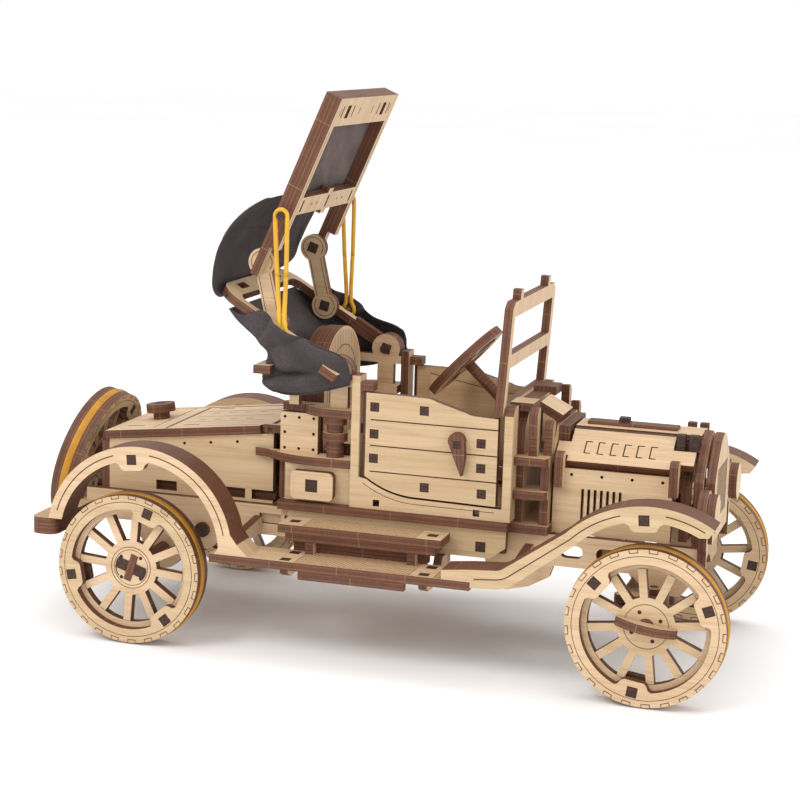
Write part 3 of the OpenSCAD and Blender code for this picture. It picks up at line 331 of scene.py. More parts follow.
class Wood:
    """A mesh in millimetres, split into flat regions: each is a face, a cut edge or a tenon's end."""

    def __init__(self, name, mesh):
        self.mesh = mesh
        self.chance = random.Random(name)
        self.co = read(mesh.vertices, "co", 3) / MM
        self.corners = read(mesh.polygons, "vertices", 3, np.int32)
        points, same = np.unique(np.round(self.co, 4), axis=0, return_inverse=True)
        self.linked = same.reshape(-1)[self.corners]
        a, b, c = (points[self.linked[:, k]] for k in range(3))
        normal = np.cross(b - a, c - a)
        size = np.linalg.norm(normal, axis=1)
        self.area = size / 2
        self.normal = normal / np.maximum(size, 1e-12)[:, None]
        self.split()
        self.measure()
        self.sort()

    def split(self):
        """Joins neighbouring triangles that lie in one plane."""
        parent = list(range(len(self.corners)))

        def root(i):
            while parent[i] != i:
                parent[i] = parent[parent[i]]
                i = parent[i]
            return i

        edges = {}
        for t, (p, q, r) in enumerate(self.linked.tolist()):
            for key in ((min(p, q), max(p, q)), (min(q, r), max(q, r)), (min(r, p), max(r, p))):
                edges.setdefault(key, []).append(t)
        pairs = [(group[0], other) for group in edges.values() for other in group[1:]]
        for first, other in pairs:
            if self.normal[first] @ self.normal[other] > 0.9999:
                parent[root(first)] = root(other)
        roots = [root(i) for i in range(len(parent))]
        numbers = {r: k for k, r in enumerate(dict.fromkeys(roots))}
        self.region = np.array([numbers[r] for r in roots])
        self.members = [[] for _ in numbers]
        for t, r in enumerate(self.region.tolist()):
            self.members[r].append(t)
        self.neighbours = [set() for _ in numbers]
        for first, other in pairs:
            r, q = self.region[first], self.region[other]
            if r != q:
                self.neighbours[r].add(int(q))
                self.neighbours[q].add(int(r))

    def measure(self):
        """Each region's plane, and its widths all round."""
        angles = np.radians(np.arange(0, 180, 2))
        fan = np.stack([np.cos(angles), np.sin(angles)])
        self.plane = []
        for members in self.members:
            largest = max(members, key=lambda t: self.area[t])
            n = self.normal[largest]
            g = np.array([1.0, 0, 0]) if abs(n[0]) < 0.9 else np.array([0, 0, 1.0])
            g = g - n * (g @ n)
            g /= max(np.linalg.norm(g), 1e-9)
            h = np.cross(n, g)
            points = self.co[self.corners[members].reshape(-1)]
            flat = np.stack([points @ g, points @ h], axis=1)
            widths = np.ptp(flat @ fan, axis=0)
            k = int(widths.argmin())
            self.plane.append({
                "n": n, "g": g, "h": h, "at": points[0], "least": widths[k], "most": widths.max(),
                "across": g * fan[0, k] + h * fan[1, k], "middle": (flat.max(0) + flat.min(0)) / 2,
                "area": self.area[members].sum()})

    def thickness(self, tree, members):
        """How deep the wood is behind a region, in the middle of its largest triangles."""
        depths = []
        for t in sorted(members, key=lambda t: -self.area[t])[:5]:
            centre = self.co[self.corners[t]].mean(axis=0)
            inward = -self.normal[t]
            hit = tree.ray_cast(Vector(centre + inward * 0.02), Vector(inward))
            if hit[3] is not None:
                depths.append(hit[3] + 0.02)
        return float(np.median(depths)) if depths else 0.0

    def sort(self):
        """Tells faces from cut edges: a face is wide, and has whole layers of plywood behind it."""
        tree = BVHTree.FromPolygons([Vector(c) for c in self.co], self.corners.tolist())
        self.kind = []
        for plane, members in zip(self.plane, self.members):
            kind = EDGE
            if plane["least"] > WIDE:
                kind = FACE
            elif plane["least"] > NARROW:
                depth = self.thickness(tree, members)
                layers = round(depth / PLY)
                if depth < PLY + 0.15 or (layers <= 4 and abs(depth - layers * PLY) < 0.16):
                    kind = FACE
            self.kind.append(kind)
        for r, plane in enumerate(self.plane):
            square = plane["area"] > 0.7 * plane["least"] ** 2 and plane["most"] < TENON
            plates = [q for q in self.neighbours[r] if self.kind[q] == FACE and self.plane[q]["most"] > TENON]
            if plane["least"] > 1.3 and square and not plates:
                self.kind[r] = END

    def paint(self, materials):
        """Gives each corner its place in the grain and in the plies, and each region its material."""
        grain = np.zeros((len(self.corners), 3, 3))
        layer = np.zeros((len(self.corners), 3))
        tone = np.zeros(len(self.corners))
        tones = {}
        seed = self.chance.uniform(0, 900)
        for r, (plane, members) in enumerate(zip(self.plane, self.members)):
            points = self.co[self.corners[members]]
            kind = self.kind[r]
            n, g, h = plane["n"], plane["g"], plane["h"]
            if kind == EDGE:
                faces = [q for q in self.neighbours[r] if self.kind[q] == FACE]
                if faces:
                    plate = self.plane[max(faces, key=lambda q: self.plane[q]["area"])]
                    layer[members] = (plate["at"] @ plate["n"] - points @ plate["n"]) / PLY
                    g = np.cross(plate["n"], n)
                    g = g / max(np.linalg.norm(g), 1e-9)
                else:
                    depth = points @ plane["across"]
                    layer[members] = (depth - depth.min()) / PLY
                    g = np.cross(plane["across"], n)
                h = np.cross(n, g)
                u = points @ g
                length = np.ptp(u)
                start = u.min() + length / 2
                if length < 13 and self.chance.random() > length / (2 * NICK_REACH):
                    start += NICK_REACH
                grain[members] = np.stack([u - start, points @ h, np.full_like(u, seed + r * 0.37)], axis=-1)
            elif kind == END:
                u, v = points @ g, points @ h
                grain[members] = np.stack([u - plane["middle"][0], v - plane["middle"][1],
                                           np.full_like(u, seed + r * 3.1)], axis=-1)
            else:
                plate = (tuple(np.round(np.abs(n), 1)), round(float(plane["at"] @ n) / 4))
                if plate not in tones:
                    tones[plate] = (self.chance.random(), self.chance.uniform(0, 900))
                u, v = points @ g, points @ h
                grain[members] = np.stack([u, v + tones[plate][1], np.full_like(u, tones[plate][1])], axis=-1)
                tone[members] = tones[plate][0]
        corner = self.mesh.attributes.new("grain", "FLOAT_VECTOR", "CORNER")
        corner.data.foreach_set("vector", grain.reshape(-1))
        self.mesh.attributes.new("layer", "FLOAT", "CORNER").data.foreach_set("value", layer.reshape(-1))
        self.mesh.attributes.new("tone", "FLOAT", "CORNER").data.foreach_set("value", np.repeat(tone, 3))
        self.mesh.materials.clear()
        for material in materials:
            self.mesh.materials.append(material)
        index = np.array([self.kind[r] for r in self.region.tolist()], dtype=np.int32)
        self.mesh.polygons.foreach_set("material_index", index)
        self.mesh.update()


for node_name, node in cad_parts.items():
    if node_name not in SOFT:
        plywood = inner_ply_painted_shade if node_name in INNER else face_ply
        Wood(node_name, node.data).paint((plywood, edge_ply, tenon_end))
    elif node_name == "motor_band":
        node.data.materials.clear()
        node.data.materials.append(band_rubber)


# ---------- new pieces ----------

def add_piece(name, bm, material, body=None):
    """Turns a bmesh into a piece that rides on a body."""
    bmesh.ops.recalc_face_normals(bm, faces=bm.faces)
    mesh = bpy.data.meshes.new(name)
    bm.to_mesh(mesh)
    bm.free()
    mesh.materials.append(material)
    piece = bpy.data.objects.new(name, mesh)
    bpy.context.scene.collection.objects.link(piece)
    if body:
        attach(piece, body)
    return piece


def shade_smooth(piece):
    for polygon in piece.data.polygons:
        polygon.use_smooth = True
    return piece


def plane(origin, u, v):
    """Axes of a flat face, in millimetres: u and v lie in it and u x v points out of it."""
    u = Vector(u).normalized()
    v = Vector(v).normalized()
    turn = Matrix((u, v, u.cross(v))).transposed().to_4x4()
    return Matrix.Translation(origin) @ turn @ Matrix.Scale(MM, 4)


def side_plane(x, y, z, side):
    """A face that looks out sideways, with its origin at that point."""
    return plane(at(x, y, z), (-side, 0, 0), (0, 0, 1))


PROUD, SUNK = 0.035, -0.06  # where an engraved strip's top and bottom lie, from the wood's face


def stroke(bm, matrix, points, width, closed=False):
    """Adds one engraved line: a closed strip, just proud of the face."""
    points = [Vector(p) for p in points]
    count = len(points)
    rows = []
    for i, p in enumerate(points):
        before = points[i - 1] if closed or i else p
        after = points[(i + 1) % count] if closed or i < count - 1 else p
        first = (p - before).normalized() if before != p else (after - p).normalized()
        second = (after - p).normalized() if after != p else first
        along = (first + second).normalized()
        half = width / 2 / max(along.dot(first), 0.5)
        side = Vector((-along.y, along.x)) * half
        section = ((p + side, PROUD), (p - side, PROUD), (p - side, SUNK), (p + side, SUNK))
        rows.append([bm.verts.new(matrix @ Vector((q.x, q.y, z))) for q, z in section])
    spans = list(zip(rows, rows[1:])) + ([(rows[-1], rows[0])] if closed else [])
    for one, two in spans:
        for k in range(4):
            bm.faces.new((one[k], one[(k + 1) % 4], two[(k + 1) % 4], two[k]))
    if not closed:
        bm.faces.new(rows[0])
        bm.faces.new(rows[-1])


def arc(centre, radius, start, end, count=24):
    """Points along an arc, with its angles in degrees."""
    angles = [math.radians(start + (end - start) * i / count) for i in range(count + 1)]
    return [Vector((centre[0] + radius * math.cos(a), centre[1] + radius * math.sin(a))) for a in angles]


def circle(centre, radius, count=48):
    return arc(centre, radius, 0, 360 * (count - 1) / count, count - 1)


# ---------- engraving on the wheels ----------

def engrave_ring(bm, matrix):
    """Tread marks round a wheel's rim, and a line inside them."""
    marks = 25
    outer, inner = WHEEL_R - 0.55, WHEEL_R - 1.7
    for k in range(marks):
        middle = 360 * k / marks
        half = 3.1
        points = [turned((outer, 0), middle - half), turned((inner, 0), middle - half),
                  turned((inner, 0), middle + half), turned((outer, 0), middle + half)]
        stroke(bm, matrix, points, 0.3)
    stroke(bm, matrix, circle((0, 0), 26.9, 72), 0.24, closed=True)


def engrave_wheel(name, body, faces, hubs=()):
    bm = bmesh.new()
    for matrix in faces:
        engrave_ring(bm, matrix)
    for matrix in hubs:
        stroke(bm, matrix, circle((0, 0), 7.1), 0.22, closed=True)
        for start, end in ((150, 215), (-50, -5)):
            stroke(bm, matrix, arc((0, 0), 6.4, start, end, 12), 0.5)
    add_piece(name, bm, engraved, body)


WHEEL_T = 3 * PLY
wheel_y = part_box("rear_wheels")[1][1] / MM
front_x = (sum(corner[0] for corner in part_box("front_tyre_right")) / 2 - AXLE_X) / MM


def wheel_faces(x, side):
    """The outer face and the inner face of a road wheel."""
    return [side_plane(x, side * wheel_y, WHEEL_R, side),
            side_plane(x, side * (wheel_y - WHEEL_T), WHEEL_R, -side)]


engrave_wheel("rear_wheel_engraving", "rear_axle",
              wheel_faces(0, RIGHT) + wheel_faces(0, LEFT),
              [side_plane(0, side * (wheel_y - PLY), WHEEL_R, side) for side in (RIGHT, LEFT)])
engrave_wheel("front_wheel_engraving_right", "front_wheel_right", wheel_faces(front_x, RIGHT))
engrave_wheel("front_wheel_engraving_left", "front_wheel_left", wheel_faces(front_x, LEFT))

SPARE_LEAN = 16
spare_out = Vector((-math.cos(math.radians(SPARE_LEAN)), 0, math.sin(math.radians(SPARE_LEAN))))
spare_up = Vector((spare_out.z, 0, -spare_out.x))
spare_middle = (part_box("spare_wheel")[0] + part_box("spare_wheel")[1]) / 2
spare_faces = [plane(spare_middle + spare_out * WHEEL_T / 2 * MM, spare_up, (0, 1, 0)),
               plane(spare_middle - spare_out * WHEEL_T / 2 * MM, spare_up, (0, -1, 0))]
engrave_wheel("spare_wheel_engraving", "chassis", spare_faces)


# ---------- engraving on the body ----------

BODY_Y = 35.8
REAR_C, REAR_R = Vector((4.45, 40.2)), 39.0
FRONT_C, FRONT_R = Vector((203.6, 31.4)), 43.9


def engrave_fenders():
    """A line along the middle of each fender, broken at its tenons."""
    bm = bmesh.new()
    for side in (RIGHT, LEFT):
        face = side_plane(0, side * wheel_y, 0, side)

        def on_face(points):
            return [Vector((-side * p.x, p.y)) for p in points]

        for start, end in ((163, 107), (83, 12)):
            stroke(bm, face, on_face(arc(REAR_C, REAR_R - 2.8, start, end, 30)), 0.45)
        run = [Vector((139, 41.5)), Vector((147.3, 42.2))] + arc((146.6, 51.6), 9.4, 276, 305, 6)
        run += arc(FRONT_C, FRONT_R - 2.8, 135, 106, 16)
        stroke(bm, face, on_face(run), 0.45)
        stroke(bm, face, on_face(arc(FRONT_C, FRONT_R - 2.8, 83, 62, 14)), 0.45)
    add_piece("fender_engraving", bm, engraved, "chassis")


def clipped(a, b, low, high):
    """The part of segment a-b inside a box, or None."""
    start, end = 0.0, 1.0
    for k in range(2):
        d = b[k] - a[k]
        for bound, sign in ((low[k], -1), (high[k], 1)):
            room = sign * (bound - a[k])
            if abs(d) < 1e-9:
                if room < 0:
                    return None
            elif sign * d > 0:
                end = min(end, room / (sign * d))
            else:
                start = max(start, room / (sign * d))
    if end - start < 0.02:
        return None
    return a + (b - a) * start, a + (b - a) * end


def hatch(bm, matrix, low, high, pitch=2.3, width=0.2):
    """Crossed slanting lines that fill a rectangle, in a thin border."""
    low, high = Vector(low), Vector(high)
    reach = high.y - low.y
    slant = reach / math.tan(math.radians(40))
    for direction in (-1, 1):
        x = low.x - slant
        while x < high.x + slant:
            a = Vector((x, low.y))
            b = Vector((x + direction * slant, high.y))
            part = clipped(a, b, low, high)
            if part:
                stroke(bm, matrix, part, width)
            x += pitch
    corners = (low, Vector((high.x, low.y)), high, Vector((low.x, high.y)))
    stroke(bm, matrix, corners, width, closed=True)


def engrave_boards():
    """Diamond hatching on the running boards and the steps above them."""
    bm = bmesh.new()
    board_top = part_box("running_boards")[1][2] / MM
    step_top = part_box("step_boards")[1][2] / MM
    for side in (RIGHT, LEFT):
        for z, x0, x1, y0, y1 in ((board_top, 68.5, 114, 45.6, 62.5), (step_top, 67.5, 112.5, 38.6, 50.4),
                                  (board_top, 123.4, 126, 45.6, 62.5)):
            matrix = plane(at(0, 0, z), (1, 0, 0), (0, 1, 0))
            low, high = sorted((side * y0, side * y1))
            hatch(bm, matrix, (x0, low), (x1, high))
    add_piece("board_hatching", bm, hatched, "chassis")


def engrave_body():
    """Lines on the sills and the seat's back."""
    bm = bmesh.new()
    for side in (RIGHT, LEFT):
        face = side_plane(0, side * BODY_Y, 0, side)
        sill = [(p.x, p.y) for p in arc((108, 99.5), 38.9, 236, 270, 12)] + [(139, 60.4)]
        stroke(bm, face, [(-side * x, z) for x, z in sill], 0.26)
    seat_x = (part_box("seat_back")[1][0] - AXLE_X) / MM
    back = plane(at(seat_x, 0, 103), (0, 1, 0), (0, 0, 1))
    curve = [(15.4 * math.cos(a), 11.5 * math.sin(a)) for a in np.linspace(0.02, math.pi - 0.02, 30)]
    stroke(bm, back, curve, 0.35)
    for y in range(-18, 19, 2):
        stroke(bm, back, [(y, -20), (y, 17.6 * math.sqrt(1 - (y / 22.6) ** 2))], 0.26)
    for y in (15.4, -15.4):
        stroke(bm, back, [(y, 0), (y, -22)], 0.35)
    add_piece("body_engraving", bm, engraved, "chassis")


def engrave_lid():
    """Planks and dashes on the luggage lid."""
    bm = bmesh.new()
    slope = math.radians(6.66)
    hinge = at(44.2, 0, 82.8)
    top = plane(hinge, (math.cos(slope), 0, math.sin(slope)), (0, 1, 0))
    top = top @ Matrix.Translation((0, 0, PLY - 1.7))
    stroke(bm, top, [(-44.8, -26), (-44.8, 22), (-4.6, 22)], 0.8)
    for y in (-12.2, 0, 12.2):
        stroke(bm, top, [(-42, y), (-8, y)], 0.26)
    for y in (-8, 8):
        for k in range(4):
            stroke(bm, top, [(-38 + 7 * k, y), (-35 + 7 * k, y)], 0.5)
    add_piece("lid_engraving", bm, engraved, "trunk_lid")


engrave_fenders()
engrave_boards()
engrave_body()
engrave_lid()


# ---------- engraving on the roof ----------

BOW_RISE, FRAME_RISE, LINK_L, LINK_TURN = 30.4, 67.0, 24.6, 103.0
PIVOT = Vector((74.5, 109.5))
BOW_DIR = turned((1, 0), 180 - BOW_RISE)
LINK_LOW = PIVOT + 31.7 * BOW_DIR
LINK_TOP = LINK_LOW + LINK_L * turned((1, 0), LINK_TURN)
FRAME_DIR = turned((1, 0), FRAME_RISE)
LINK_Y, ARM_Y, ROOF_Y = 27.9, 31.6, 36.0


def engrave_links():
    """The links' outlines and the arcs round their pivots, on both of their faces."""
    bm = bmesh.new()
    for y in (LINK_Y, LINK_Y + PLY):
        for side in (RIGHT, LEFT):
            out = side if y > LINK_Y else -side
            face = side_plane(LINK_LOW.x, side * y, LINK_LOW.y, out)

            def on_face(points):
                return [Vector((-out * p.x, p.y)) for p in (turned(q, LINK_TURN) for q in points)]

            for x in (-1, 1):
                stroke(bm, face, on_face([(4.6, x * 2.3), (LINK_L - 4.6, x * 2.3)]), 0.28)
            stroke(bm, face, on_face(arc((0, 0), 4.3, 40, 320, 24)), 0.28)
            stroke(bm, face, on_face(arc((LINK_L, 0), 4.3, -140, 140, 24)), 0.28)
    add_piece("link_engraving", bm, engraved, "roof_links")


def engrave_frame():
    """Dots and dashes beside the slots of the roof frame's bars."""
    bm = bmesh.new()
    along = Vector((FRAME_DIR.x, 0, FRAME_DIR.y))
    out = Vector((FRAME_DIR.y, 0, -FRAME_DIR.x))
    origin = at(LINK_TOP.x, 0, LINK_TOP.y) + out * 5.3 * MM
    face = plane(origin, (0, 1, 0), along)
    for y in (-33.8, 33.8):
        stroke(bm, face, [(y, 12), (y, 58)], 0.24)
    for y in (-18, -12, 12, 18):
        stroke(bm, face, circle((y, 26.6), 0.45, 12), 0.3, closed=True)
    for y in (-30.5, 30.5, -8, 8):
        stroke(bm, face, [(y, 64.5), (y, 67.5)], 0.45)
    add_piece("frame_engraving", bm, engraved, "roof_frame")


def add_block(bm, centre, size, angle):
    """Adds a small box, turned about Y."""
    turn = Matrix.Translation(centre) @ Matrix.Rotation(math.radians(angle), 4, "Y")
    bmesh.ops.create_cube(bm, size=1, matrix=turn @ Matrix.Diagonal((*(s * MM for s in size), 1)))


def add_pin_heads(name, body, places):
    """The square ends of the pins, just proud of the plates round them."""
    bm = bmesh.new()
    for centre, y, angle in places:
        for side in (RIGHT, LEFT):
            add_block(bm, at(centre.x, side * y, centre.y), (4, 0.5, 4), angle)
    bmesh.ops.triangulate(bm, faces=bm.faces)
    piece = add_piece(name, bm, tenon_end, body)
    Wood(name, piece.data).paint((face_ply, edge_ply, tenon_end))


engrave_links()
engrave_frame()
add_pin_heads("link_pin_heads", "roof_links", [(LINK_LOW, LINK_Y, 12), (LINK_TOP, LINK_Y, 20)])
add_pin_heads("pivot_pin_heads", "chassis", [(PIVOT, 28.0, 14)])


# ---------- tyres ----------

def lathe(bm, centre, axis, profile, segments=96):
    """Adds a closed ring: the profile's points are a radius and a place along the axis, in millimetres."""
    axis = Vector(axis).normalized()
    u = axis.orthogonal().normalized()
    v = axis.cross(u)
    rows = []
    for k in range(segments):
        a = 2 * math.pi * k / segments
        out = u * math.cos(a) + v * math.sin(a)
        rows.append([bm.verts.new(centre + (out * r + axis * d) * MM) for r, d in profile])
    for k, row in enumerate(rows):
        following = rows[(k + 1) % segments]
        for i in range(len(profile)):
            j = (i + 1) % len(profile)
            bm.faces.new((row[i], row[j], following[j], following[i]))


def tyre_profile():
    """A rubber band's section: a flat back in the wheel's groove and a crowned tread."""
    half = PLY / 2 - 0.06
    angles = np.radians(np.arange(-78, 79, 12))
    crown = [(WHEEL_R - 0.42 + 0.4 * math.cos(a), half * math.sin(a)) for a in angles]
    return [(WHEEL_R - 1.12, -half)] + crown + [(WHEEL_R - 1.12, half)]


def add_tyres(name, body, node, places):
    bm = bmesh.new()
    for centre, axis in places:
        lathe(bm, centre, axis, tyre_profile())
    piece = shade_smooth(add_piece(name, bm, tyre_rubber, body))
    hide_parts(node)


def tyre_place(x, side):
    return at(x, side * (wheel_y - WHEEL_T / 2), WHEEL_R), (0, 1, 0)


add_tyres("rear_tyre_bands", "rear_axle", "rear_tyres", [tyre_place(0, RIGHT), tyre_place(0, LEFT)])
add_tyres("front_tyre_band_right", "front_wheel_right", "front_tyre_right", [tyre_place(front_x, RIGHT)])
add_tyres("front_tyre_band_left", "front_wheel_left", "front_tyre_left", [tyre_place(front_x, LEFT)])
add_tyres("spare_tyre_band", "chassis", "spare_tyre", [(spare_middle, spare_out)])


# ---------- the roof's rubber bands ----------

BAND_R = 0.9
LOW_HOOK = PIVOT + 24 * BOW_DIR + Vector((0, 1))
HIGH_HOOK = LINK_TOP + 22 * FRAME_DIR + 2.6 * Vector((FRAME_DIR.y, -FRAME_DIR.x))


def tube(bm, points, radius, segments=12):
    """Adds a closed round tube along points in the row frame, with flat ends."""
    rings = []
    for i, p in enumerate(points):
        along = (points[min(i + 1, len(points) - 1)] - points[max(i - 1, 0)]).normalized()
        u = along.cross(Vector((0, 1, 0))).normalized()
        v = along.cross(u)
        rings.append([bm.verts.new(p + (u * math.cos(a) + v * math.sin(a)) * radius * MM)
                      for a in np.arange(segments) * 2 * math.pi / segments])
    for one, two in zip(rings, rings[1:]):
        for k in range(segments):
            bm.faces.new((one[k], one[(k + 1) % segments], two[(k + 1) % segments], two[k]))
    bm.faces.new(rings[0])
    bm.faces.new(rings[-1])


def band_half(side, upper):
    """One half of a rubber band: round its hook, and down both strands to the middle."""
    y = ROOF_Y + 4.15
    hook, other = (HIGH_HOOK, LOW_HOOK) if upper else (LOW_HOOK, HIGH_HOOK)
    toward = (other - hook).normalized()
    across = Vector((-toward.y, toward.x))
    length = (other - hook).length / 2
    wide = 1.5 + BAND_R
    shares = (0, 0.05, 0.15, 0.3, 0.45, 0.6, 0.75, 0.9, 1)
    spread = (2.4, 2.2, 1.1, 1.0, 1.1, 1.3, 1.5, 1.65, 1.8)
    if upper:
        spread = (2.4, 2.4, 2.4, 2.3, 2.2, 2.1, 2.0, 1.9, 1.8)

    def strand(sign):
        return [hook + toward * length * share + across * sign * half
                for share, half in zip(shares[:0:-1], spread[:0:-1])]

    round_hook = [hook + across * wide * math.cos(a) - toward * wide * math.sin(a)
                  for a in np.linspace(0, math.pi, 15)]
    return [at(p.x, side * y, p.y) for p in strand(1) + round_hook + strand(-1)[::-1]]


def add_bands():
    pieces = []
    for upper in (True, False):
        bm = bmesh.new()
        for side in (RIGHT, LEFT):
            tube(bm, band_half(side, upper), BAND_R)
        name = "upper_band_halves" if upper else "lower_band_halves"
        piece = shade_smooth(add_piece(name, bm, band_rubber))
        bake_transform(piece)
        pieces.append(piece)
    for piece in pieces:
        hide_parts("roof_bands")


add_bands()


# ---------- cloth ----------

CLOTH_T = 0.5


def cloth_piece(name, rows, material=cloth):
    """A sheet of cloth with a real thickness, from rows of points in the row frame."""
    grid = np.array([[tuple(p) for p in row] for row in rows])
    du = np.gradient(grid, axis=1)
    dv = np.gradient(grid, axis=0)
    normal = np.cross(du, dv)
    normal /= np.maximum(np.linalg.norm(normal, axis=2), 1e-12)[:, :, None]
    step_u = np.linalg.norm(np.diff(grid, axis=1), axis=2).mean(axis=0)
    step_v = np.linalg.norm(np.diff(grid, axis=0), axis=2).mean(axis=1)
    u = np.concatenate([[0], np.cumsum(step_u)]) / MM
    v = np.concatenate([[0], np.cumsum(step_v)]) / MM
    height, width = grid.shape[:2]
    bm = bmesh.new()
    layers = []
    for side in (1, -1):
        points = grid + normal * side * CLOTH_T / 2 * MM
        layers.append([[bm.verts.new(p) for p in row] for row in points])
    for layer in layers:
        for i in range(height - 1):
            for j in range(width - 1):
                bm.faces.new((layer[i][j], layer[i][j + 1], layer[i + 1][j + 1], layer[i + 1][j]))
    rim = [(0, j) for j in range(width)] + [(i, width - 1) for i in range(1, height)]
    rim += [(height - 1, j) for j in range(width - 2, -1, -1)] + [(i, 0) for i in range(height - 2, 0, -1)]
    for (i, j), (k, l) in zip(rim, rim[1:] + rim[:1]):
        bm.faces.new((layers[0][i][j], layers[0][k][l], layers[1][k][l], layers[1][i][j]))
    piece = shade_smooth(add_piece(name, bm, material))
    threads = np.stack(np.meshgrid(u, v), axis=-1).reshape(-1, 2)
    threads = np.concatenate([threads, threads])
    threads = np.concatenate([threads, np.zeros((len(threads), 1))], axis=1)
    weave = piece.data.attributes.new("grain", "FLOAT_VECTOR", "POINT")
    weave.data.foreach_set("vector", threads.reshape(-1))
    return piece


def ripple(x, y, seed, scale):
    """A smooth made-up wrinkle, between -1 and 1."""
    chance = random.Random(seed)
    total = 0.0
    for _ in range(5):
        a = chance.uniform(0, math.pi)
        k = scale * chance.uniform(0.6, 1.8)
        total += math.sin(k * (x * math.cos(a) + y * math.sin(a)) + chance.uniform(0, 6.28)) / 5
    return total


def add_window():
    """The cloth window inside the roof frame, with slack diagonal folds."""
    rows = []
    half = ARM_Y - 0.4
    for s in np.linspace(24.4, 67.8, 40):
        row = []
        for y in np.linspace(-half, half, 56):
            edge = min(smooth((half - abs(y)) / 7), smooth((s - 24.4) / 7), smooth((67.8 - s) / 7))
            fold = math.sin(0.34 * (s + 0.62 * y) + 1.3 * math.sin(0.11 * y))
            out = 0.6 + edge * (0.7 * fold + 0.5 * ripple(s, y, 5, 0.3))
            p = LINK_TOP + FRAME_DIR * s + Vector((-FRAME_DIR.y, FRAME_DIR.x)) * (out - 0.6)
            row.append(at(p.x, y, p.y))
        rows.append(row)
    # the window gets the lighter cloth, which paints the light shining through it
    piece = cloth_piece("window_cloth_painted_light", rows, window_cloth_painted_light)
    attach(piece, "roof_frame")
    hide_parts("roof_window")


CURTAIN_C, CURTAIN_R = Vector((52, 146)), 29.4
CURTAIN_HALF = 35.4


def along_path(path, t):
    """The point at a share t of a polyline's length."""
    lengths = [(b - a).length for a, b in zip(path, path[1:])]
    left = t * sum(lengths)
    for (a, b), length in zip(zip(path, path[1:]), lengths):
        if left <= length:
            return a + (b - a) * left / length
        left -= length
    return path[-1]


def rounded(*path):
    """A smooth curve near a polyline, whose corners are cut off three times."""
    path = [Vector(p) for p in path]
    for _ in range(3):
        cut = [path[0]]
        for a, b in zip(path, path[1:]):
            cut += [a + (b - a) * 0.25, a + (b - a) * 0.75]
        path = cut + [path[-1]]
    return path


CURTAIN_SPLIT = 150
CURTAIN_TOP = arc(CURTAIN_C, CURTAIN_R, 106, CURTAIN_SPLIT, 30)
CURTAIN_LOW = arc(CURTAIN_C, CURTAIN_R, CURTAIN_SPLIT, 184, 24)
CURTAIN_LOW += rounded(CURTAIN_LOW[-1], (22.6, 141.4), (22.9, 139.0), (24.0, 136.4), (26.2, 135.3),
                       (28.6, 136.6))


# the curtain's far edge, which is pulled in along the frame's rail
TAUT = rounded(CURTAIN_TOP[0], (36.4, 160.5), (32.2, 152), (31.0, 145.6), (28.0, 141.6), (23.2, 138.8),
               (24.0, 136.4), (26.2, 135.3), (28.6, 136.6))


def curtain_rows(path, belly, count, first, last):
    """Rows of the curtain along its profile; belly gives its slack from 0 at the ends to 1."""
    rows = []
    for t in np.linspace(0, 1, count):
        p = along_path(path, t)
        out = (p - CURTAIN_C).normalized()
        slack = math.sin(math.pi * belly(t))
        row = []
        straight = along_path(TAUT, first + (last - first) * t) - p
        for y in np.linspace(-CURTAIN_HALF, CURTAIN_HALF, 76):
            edge = smooth((CURTAIN_HALF - abs(y)) / 6)
            pulled = smooth((y + 12) / 46)
            r = slack * (0.9 * ripple(p.y * 0.5, y, 3, 0.16) + 1.2 * edge - 1.6)
            r += 0.25 * ripple(p.y * 0.6, y, 8, 0.7)
            q = p + out * r + straight * pulled
            row.append(at(q.x, y - math.copysign(slack * 1.2 * (1 - edge), y), q.y))
        rows.append(row)
    return rows


def add_curtain():
    rows = curtain_rows(CURTAIN_TOP, lambda t: 0.55 * t, 36, 0, 0.46)
    upper = cloth_piece("curtain_upper", rows)
    rows = curtain_rows(CURTAIN_LOW, lambda t: min(0.55 + 0.6 * t, 1), 40, 0.46, 1)
    lower = cloth_piece("curtain_lower", rows)
    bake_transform(upper)
    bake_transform(lower)
    for piece, length in ((upper, 0.0228), (lower, 0.0291)):
        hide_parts("roof_curtain")


BACK_EDGE = rounded((30.5, 131.4), (33.6, 127.4), (39.4, 122.8), (45.0, 118.4), (47.4, 115.0),
                    (45.8, 110.0), (44.6, 105.0), (46.6, 101.4), (49.5, 100.2))
HEM_EDGE = rounded((49.5, 100.2), (55.0, 99.0), (64.0, 100.0), (71.0, 102.0), (80.6, 105.0))
FRONT_K, BACK_K = -5.0, 49.4        # where the drape starts and ends along the bow, from its pivot
ARM_UP = turned(BOW_DIR, -90)
FRONT_EDGE = [PIVOT + BOW_DIR * FRONT_K + ARM_UP * 3.0, Vector((81.2, 108.6)), Vector((80.6, 105.0))]


def bow_edge(q, over):
    """The drape's upper edge along the bow's arm, from the front at q = 0 to the back corner at 1."""
    k = FRONT_K + q * (BACK_K - FRONT_K)
    lift = over * smooth((43 - k) / 6) + 2.2 * smooth((14 - k) / 12) - 2.4 * smooth((k - 39) / 8)
    lift -= (over - 0.4) * smooth((-0.5 - k) / 4.5)
    return PIVOT + BOW_DIR * k + ARM_UP * lift


def side_point(q, t, over):
    """A point of the drape's side in the XZ plane, on a patch stretched between its four edges."""
    top, bottom = bow_edge(q, over), along_path(HEM_EDGE, 1 - q)
    front, back = along_path(FRONT_EDGE, t), along_path(BACK_EDGE, t)
    top_front, top_back = bow_edge(0, over), bow_edge(1, over)
    low_front, low_back = HEM_EDGE[-1], HEM_EDGE[0]
    ruled = top * (1 - t) + bottom * t + front * (1 - q) + back * q
    corners = (top_front * (1 - q) + top_back * q) * (1 - t) + (low_front * (1 - q) + low_back * q) * t
    return ruled - corners


